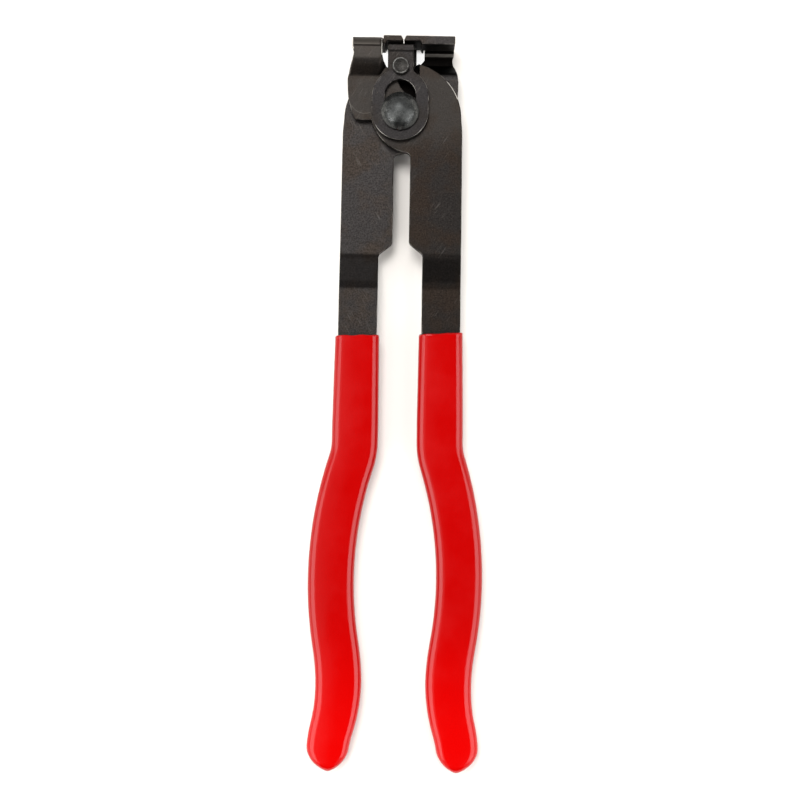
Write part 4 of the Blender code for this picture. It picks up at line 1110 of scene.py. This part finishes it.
small_face = PRESSER_FACE + CLEARANCE
small_top = small_face + SMALL_HEAD_HEIGHT
small_rim = quarter((SMALL_HEAD_RADIUS - SMALL_HEAD_RIM, small_top - SMALL_HEAD_RIM), SMALL_HEAD_RIM,
                    math.pi / 2)
small_tail_corner = (SMALL_TAIL_RADIUS - SMALL_TAIL_EASE, SMALL_TAIL_EASE - small_face - SMALL_TAIL_HEIGHT)
small_profile = [
    (0, small_top - SMALL_HEAD_SINK),
    (SMALL_DISH, small_top - SMALL_HEAD_SINK),
    (SMALL_DISH + SMALL_DISH_EDGE, small_top - SMALL_HEAD_SINK + SMALL_DISH_RISE),
    *small_rim,
    (SMALL_HEAD_RADIUS, small_face),
    (SMALL_SHANK_RADIUS, small_face),
    (SMALL_SHANK_RADIUS, -small_face),
    (SMALL_TAIL_RADIUS, -small_face),
    *quarter(small_tail_corner, SMALL_TAIL_EASE, 0),
    (0, -small_face - SMALL_TAIL_HEIGHT),
]
small_finish = turned_steel("small_rivet_oxide", (0.0205, 0.0193, 0.0180, 1), 0.46, 0.6, ROLLER_REACH)
small_rivet = finished(turned(small_profile, ROLLER_REACH, small_rim), "presser_rivet_turned", small_finish)
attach(small_rivet, "presser")
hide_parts("presser_rivet")


def sleeve(name, inner, outer, bottom, top, ease, finish, centre_y=0.0):
    """A turned ring with eased edges on both rims."""
    profile = quarter((inner + ease, top - ease), ease, math.pi)
    profile += quarter((outer - ease, top - ease), ease, math.pi / 2)
    profile += quarter((outer - ease, bottom + ease), ease, 0)
    profile += quarter((inner + ease, bottom + ease), ease, -math.pi / 2)
    return finished(turned(profile, centre_y, profile), name, finish)


roller_finish = turned_steel("roller_steel", (0.09, 0.09, 0.085, 1), 0.30, 0.2, ROLLER_REACH)
roller = sleeve("guide_roller_turned", SMALL_SHANK_RADIUS + CLEARANCE, ROLLER_RADIUS, -LEVER_FACE,
                LEVER_FACE, SMALL_TAIL_EASE, roller_finish, ROLLER_REACH)
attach(roller, "presser")
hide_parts("guide_roller")

# Main rivet and washer. A headed shoulder rivet carries levers and presser. Its dome is scuffed and bluish,
# and its tail is peened over a washer behind the back plate.

DOME_RADIUS = tail_high.x
DOME_HEIGHT = 4.5 * MM
DOME_RIM = 0.7 * MM
DOME_POWER = 2.15
DOME_PARTS = 28
CROWN = (PRESSER_FACE + DOME_HEIGHT) / MM - 0.5
CROWN_SOFT = 1.4
DOME_FILM = (0.046, 0.048, 0.047, 1)
DOME_CLOUD = (0.085, 0.088, 0.085, 1)
DOME_SPECK = (0.16, 0.165, 0.16, 1)
DOME_SCUFF = (0.17, 0.175, 0.17, 1)
CROWN_PAINTED_SHADE = (0.02, 0.021, 0.021, 1)
WASHER_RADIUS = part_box("tail_washer")[1].x
WASHER_THICKNESS = 1.2 * MM
TAIL_RADIUS = 5.9 * MM
TAIL_FACE_RADIUS = 4.2 * MM
TAIL_HEIGHT = 1.3 * MM
TAIL_SEAT = PRESSER_FACE + CLEARANCE + WASHER_THICKNESS + CLEARANCE
RIVET_EASE = 0.28 * MM


def dome_steel():
    """The rivet's dome: blued steel, scuffed in arcs about its crown, polished in patches, its crown
    rougher and darkened by painted shade.
    """
    made, tree, out, place = new_material("dome_steel")
    film_look = grouped(tree, OXIDE_FILM, {
        "Place": place, "Film": DOME_FILM, "Cloud": DOME_CLOUD,
        "Cloud Size": 300.0, "Speck Share": 0.35, "Speck": DOME_SPECK,
    })
    first = grouped(tree, SCUFFS, {"Place": place, "Turn": 0.9, "Amount": 0.6})["Mask"]
    second = grouped(tree, SCUFFS, {"Place": place, "Turn": -0.7, "Amount": 0.5})["Mask"]
    scuffed = arithmetic(tree, "MAXIMUM", first, second)
    crown = inside(tree, place, (ANY, ANY, (CROWN, FAR)), CROWN_SOFT)
    colour = mixed(tree, scuffed, film_look["Color"], DOME_SCUFF)
    # Painted shade darkens the crown
    colour = mixed(tree, times(tree, crown, 0.45), colour, CROWN_PAINTED_SHADE)
    rough = ramp_between(tree, film_look["Cloud"], 0.0, 1.0, 0.20, 0.28)
    rough = arithmetic(tree, "ADD", rough, times(tree, crown, 0.27))
    height = arithmetic(tree, "ADD", film_look["Grain"], scuffed)
    shaded(tree, out, {"Base Color": colour, "Roughness": rough, "Metallic": 0.9}, height, 0.5, 0.05 * MM)
    return made


rivet_base, rivet_seat = PRESSER_FACE + CLEARANCE, -TAIL_SEAT
dome_foot, dome_rise = rivet_base + DOME_RIM, DOME_HEIGHT - DOME_RIM
dome_shares = [part / DOME_PARTS for part in range(DOME_PARTS + 1)]
rivet_profile = [(DOME_RADIUS * share, dome_foot + dome_rise * (1 - share**DOME_POWER))
                 for share in dome_shares]
rivet_profile += quarter((DOME_RADIUS - RIVET_EASE, rivet_base + RIVET_EASE), RIVET_EASE, 0)
rivet_profile += [(SHANK_RADIUS, rivet_base), (SHANK_RADIUS, rivet_seat), (TAIL_RADIUS, rivet_seat)]
rivet_profile += smooth_through([
    (TAIL_RADIUS, rivet_seat - RIVET_EASE),
    (TAIL_RADIUS - RIVET_EASE, rivet_seat - TAIL_HEIGHT / 2),
    (TAIL_FACE_RADIUS, rivet_seat - TAIL_HEIGHT),
])
rivet_profile.append((0, rivet_seat - TAIL_HEIGHT))
main_rivet = finished(turned(rivet_profile), "pivot_rivet_headed", dome_steel())
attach(main_rivet, "pivot")
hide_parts("pivot_rivet")

washer_finish = turned_steel("washer_steel", (0.08, 0.08, 0.078, 1), 0.40, 0.5)
washer = sleeve("tail_washer_turned", SLOT_RADIUS, WASHER_RADIUS, CLEARANCE - TAIL_SEAT,
                CLEARANCE - TAIL_SEAT + WASHER_THICKNESS, RIVET_EASE / 2, washer_finish)
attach(washer, "pivot")
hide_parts("tail_washer")

# Grips. Red vinyl, built up by dipping the arms: a thick glossy skin with a soft uneven edge where the dip
# ended, flat faces, round shoulders and an end that the last of the dip has drawn out to a blunt point.

GRIP_TOP = -75.0 * MM
GRIP_TOP_WIDTH = 14.9 * MM
GRIP_WIDTH = 15.7 * MM
GRIP_WIDENING = 30.0 * MM
GRIP_THICKNESS = 6.8 * MM
GRIP_EDGE_RADIUS = 3.1 * MM
GRIP_LIP_RADIUS = 0.55 * MM
GRIP_CROWN = 0.10 * MM
GRIP_STEP = 1.2 * MM
GRIP_QUARTER = 10
GRIP_FACE_PARTS = 7
LIP_PARTS = 12
DIP_EDGE_REACH = 6 * MM
DIP_RIPPLE = 0.35 * MM
DIP_RIPPLE_LENGTH = 3 * MM
DRIP_LENGTH = 0.46 * MM
END_PARTS = 26
END_TURN = math.radians(88.5)
END_POINT = 1.3
END_TAPER = 31.0 * MM
END_TAPER_SHARE = 0.25
END_TAPER_POWER = 1.3
SKIN_GAP = 0.03 * MM
SKIN_SWELL = 0.10 * MM
SWELL_LENGTHS = (14 * MM, 5 * MM)
POCKET_PARTS = 10
POCKET_ROUND = 0.97
POCKET_EDGE_RADIUS = 0.3 * MM
VINYL_REDS = (0.265, 0.0004, 0.0004, 1), (0.30, 0.0006, 0.0006, 1)
VINYL_PAINTED_LIGHT_RED = (0.415, 0.0005, 0.0004, 1)
VINYL_END = (GRIP_TOP - 85 * MM, GRIP_TOP - 145 * MM)
VINYL_GLOSS = 0.24
HAZE_SCALE = 60.0
PEEL_SCALE = 420.0
PIMPLE_SCALE = 160.0


def grip_section(half_width, half_height, radius, crown=0.0):
    """A rounded rectangle with slightly crowned faces, as (outward, up) places from the right side up."""
    radius = min(radius, half_width * 0.999, half_height * 0.999)
    flat_x, flat_z = half_width - radius, half_height - radius
    section = []
    for across, up, turn in ((1, 1, 0), (-1, 1, 1), (-1, -1, 2), (1, -1, 3)):
        start = turn * math.pi / 2
        step = math.pi / 2 / GRIP_QUARTER
        section += arc((across * flat_x, up * flat_z), radius, start, start + math.pi / 2, step)
        if turn in (0, 2):
            for i in range(1, GRIP_FACE_PARTS):
                share = 1 - 2 * i / GRIP_FACE_PARTS
                section.append((across * flat_x * share, up * (half_height + crown * (1 - share**2))))
    return [(x, z - math.copysign(crown, z)) for x, z in section]


def skin_spot(at, outward, up, offset, begin, slant, outer):
    """A point of the skin, swept along the handle.

    The dip's edge is slanted and rippled, and the inner flank of the outer skin is drawn in to its tip.
    """
    before_tip = HANDLE_LENGTH + GRIP_WIDTH / 2 + DRIP_LENGTH - at
    if outer and outward < 0 and before_tip < END_TAPER:
        outward *= 1 - END_TAPER_SHARE * (1 - max(before_tip, 0) / END_TAPER) ** END_TAPER_POWER
    fade = max(0.0, 1 - (at - begin) / DIP_EDGE_REACH)
    wave = noise.noise(Vector((outward / DIP_RIPPLE_LENGTH, up / DIP_RIPPLE_LENGTH, offset / MM)))
    at = at + fade * (slant * outward + wave * DIP_RIPPLE)
    place, out = along_handle(min(at, HANDLE_LENGTH))
    onward = Vector((out.y, -out.x)) * max(at - HANDLE_LENGTH, 0)
    spot = place + onward + out * outward
    return Vector((spot.x + offset, spot.y, up))


def skin_stations(begin):
    """The dipped sleeve's cross sections as (place along, half width, half height, share of outer skin)."""
    wide, high = GRIP_WIDTH / 2, GRIP_THICKNESS / 2
    arm_half, arm_high = ARM_WIDTH / 2 + SKIN_GAP, PLATE / 2 + SKIN_GAP
    arm_end = HANDLE_LENGTH - GRIP_END_WALL
    stations = []

    # Inner skin, from the arm's end back up to the mouth
    for i in range(POCKET_PARTS):
        angle = math.pi / 2 * (1 - i / POCKET_PARTS) * POCKET_ROUND
        stations.append((arm_end + arm_half * math.sin(angle), arm_half * math.cos(angle), arm_high, 0))
    count = math.ceil((arm_end - begin) / GRIP_STEP)
    for i in range(count):
        stations.append((arm_end + (begin + GRIP_LIP_RADIUS - arm_end) * i / count, arm_half, arm_high, 0))

    # Round lip, outer faces and drawn-out end
    wall_x, wall_z = GRIP_TOP_WIDTH / 2 - arm_half, high - arm_high
    for i in range(LIP_PARTS + 1):
        angle = math.pi * i / LIP_PARTS
        share = (1 - math.cos(angle)) / 2
        at = begin + GRIP_LIP_RADIUS * (1 - math.sin(angle))
        stations.append((at, arm_half + wall_x * share, arm_high + wall_z * share, share))
    count = math.ceil((HANDLE_LENGTH - begin) / GRIP_STEP)
    for i in range(1, count):
        at = begin + GRIP_LIP_RADIUS + (HANDLE_LENGTH - begin - GRIP_LIP_RADIUS) * i / count
        share = min((at - begin) / GRIP_WIDENING, 1)
        stations.append((at, (GRIP_TOP_WIDTH + (GRIP_WIDTH - GRIP_TOP_WIDTH) * share) / 2, high, 1))
    for i in range(END_PARTS + 1):
        angle = END_TURN * i / END_PARTS
        left = (wide + DRIP_LENGTH) * (1 - math.sin(angle))
        drop = max(GRIP_EDGE_RADIUS - left, 0)
        half_height = high - GRIP_EDGE_RADIUS + math.sqrt(GRIP_EDGE_RADIUS**2 - drop**2)
        half_width = wide * math.cos(angle) ** END_POINT
        stations.append((HANDLE_LENGTH + wide + DRIP_LENGTH - left, half_width, half_height, 1))
    return stations


def grip_skin(name, side, top, slant, finish):
    """The dipped sleeve, closed round the arm. Its outer faces swell and sink a little, as vinyl does."""
    offset = side * LEVER_OFFSET
    begin = ARM_START - top
    bm = bmesh.new()
    bm.verts.layers.float.new("rim")
    rings = []
    for at, half_width, half_height, outer in skin_stations(begin):
        radius = POCKET_EDGE_RADIUS + (GRIP_EDGE_RADIUS - POCKET_EDGE_RADIUS) * outer
        ring = []
        for outward, up in grip_section(half_width, half_height, radius, GRIP_CROWN * outer):
            spot = skin_spot(at, outward, up, offset, begin, slant, outer == 1)
            if outer == 1:
                broad, fine = [noise.noise(spot / length) for length in SWELL_LENGTHS]
                spot.z -= math.copysign(SKIN_SWELL * (0.5 + 0.33 * (broad + 0.5 * fine)), up)
            ring.append(bm.verts.new(spot))
        rings.append(ring)
    close_rings(bm, rings)
    return finished(bm, name, finish, side < 0)


def dipped_vinyl():
    """Glossy red plastisol: deep red, a faint orange-peel skin, tiny pimples, hazy handling marks and
    painted light, a brighter red towards the ends.
    """
    made, tree, out, place = new_material("dipped_vinyl")
    haze = noise_of(tree, place, HAZE_SCALE, 5.0, 0.65)
    # Painted light: the red grows brighter towards the grips' ends
    end = ramp_between(tree, add_node(tree, "SeparateXYZ", {0: place})["Y"], *VINYL_END)
    colour = mixed(tree, end, mixed(tree, haze, *VINYL_REDS), VINYL_PAINTED_LIGHT_RED)
    rough = ramp_between(tree, haze, 0.35, 0.7, 0.12, 0.22)
    peel = times(tree, noise_of(tree, place, PEEL_SCALE), 0.5)
    pimples = few_dots(tree, place, PIMPLE_SCALE, 0.05, 0.02, 0.08)
    look = {"Base Color": colour, "Roughness": rough, "Metallic": 0.0, "Specular IOR Level": VINYL_GLOSS}
    shaded(tree, out, look, arithmetic(tree, "ADD", peel, pimples), 0.25, 0.08 * MM)
    return made


vinyl = dipped_vinyl()
for grip_name, grip_side, dip_top, dip_slant, grip_body in (
    ("right_grip", 1, GRIP_TOP + 0.85 * MM, -0.055, "front"),
    ("left_grip", -1, GRIP_TOP - 0.1 * MM, 0.035, "back"),
):
    skin = grip_skin(grip_name + "_skin", grip_side, dip_top, dip_slant, vinyl)
    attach(skin, grip_body)
    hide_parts(grip_name)
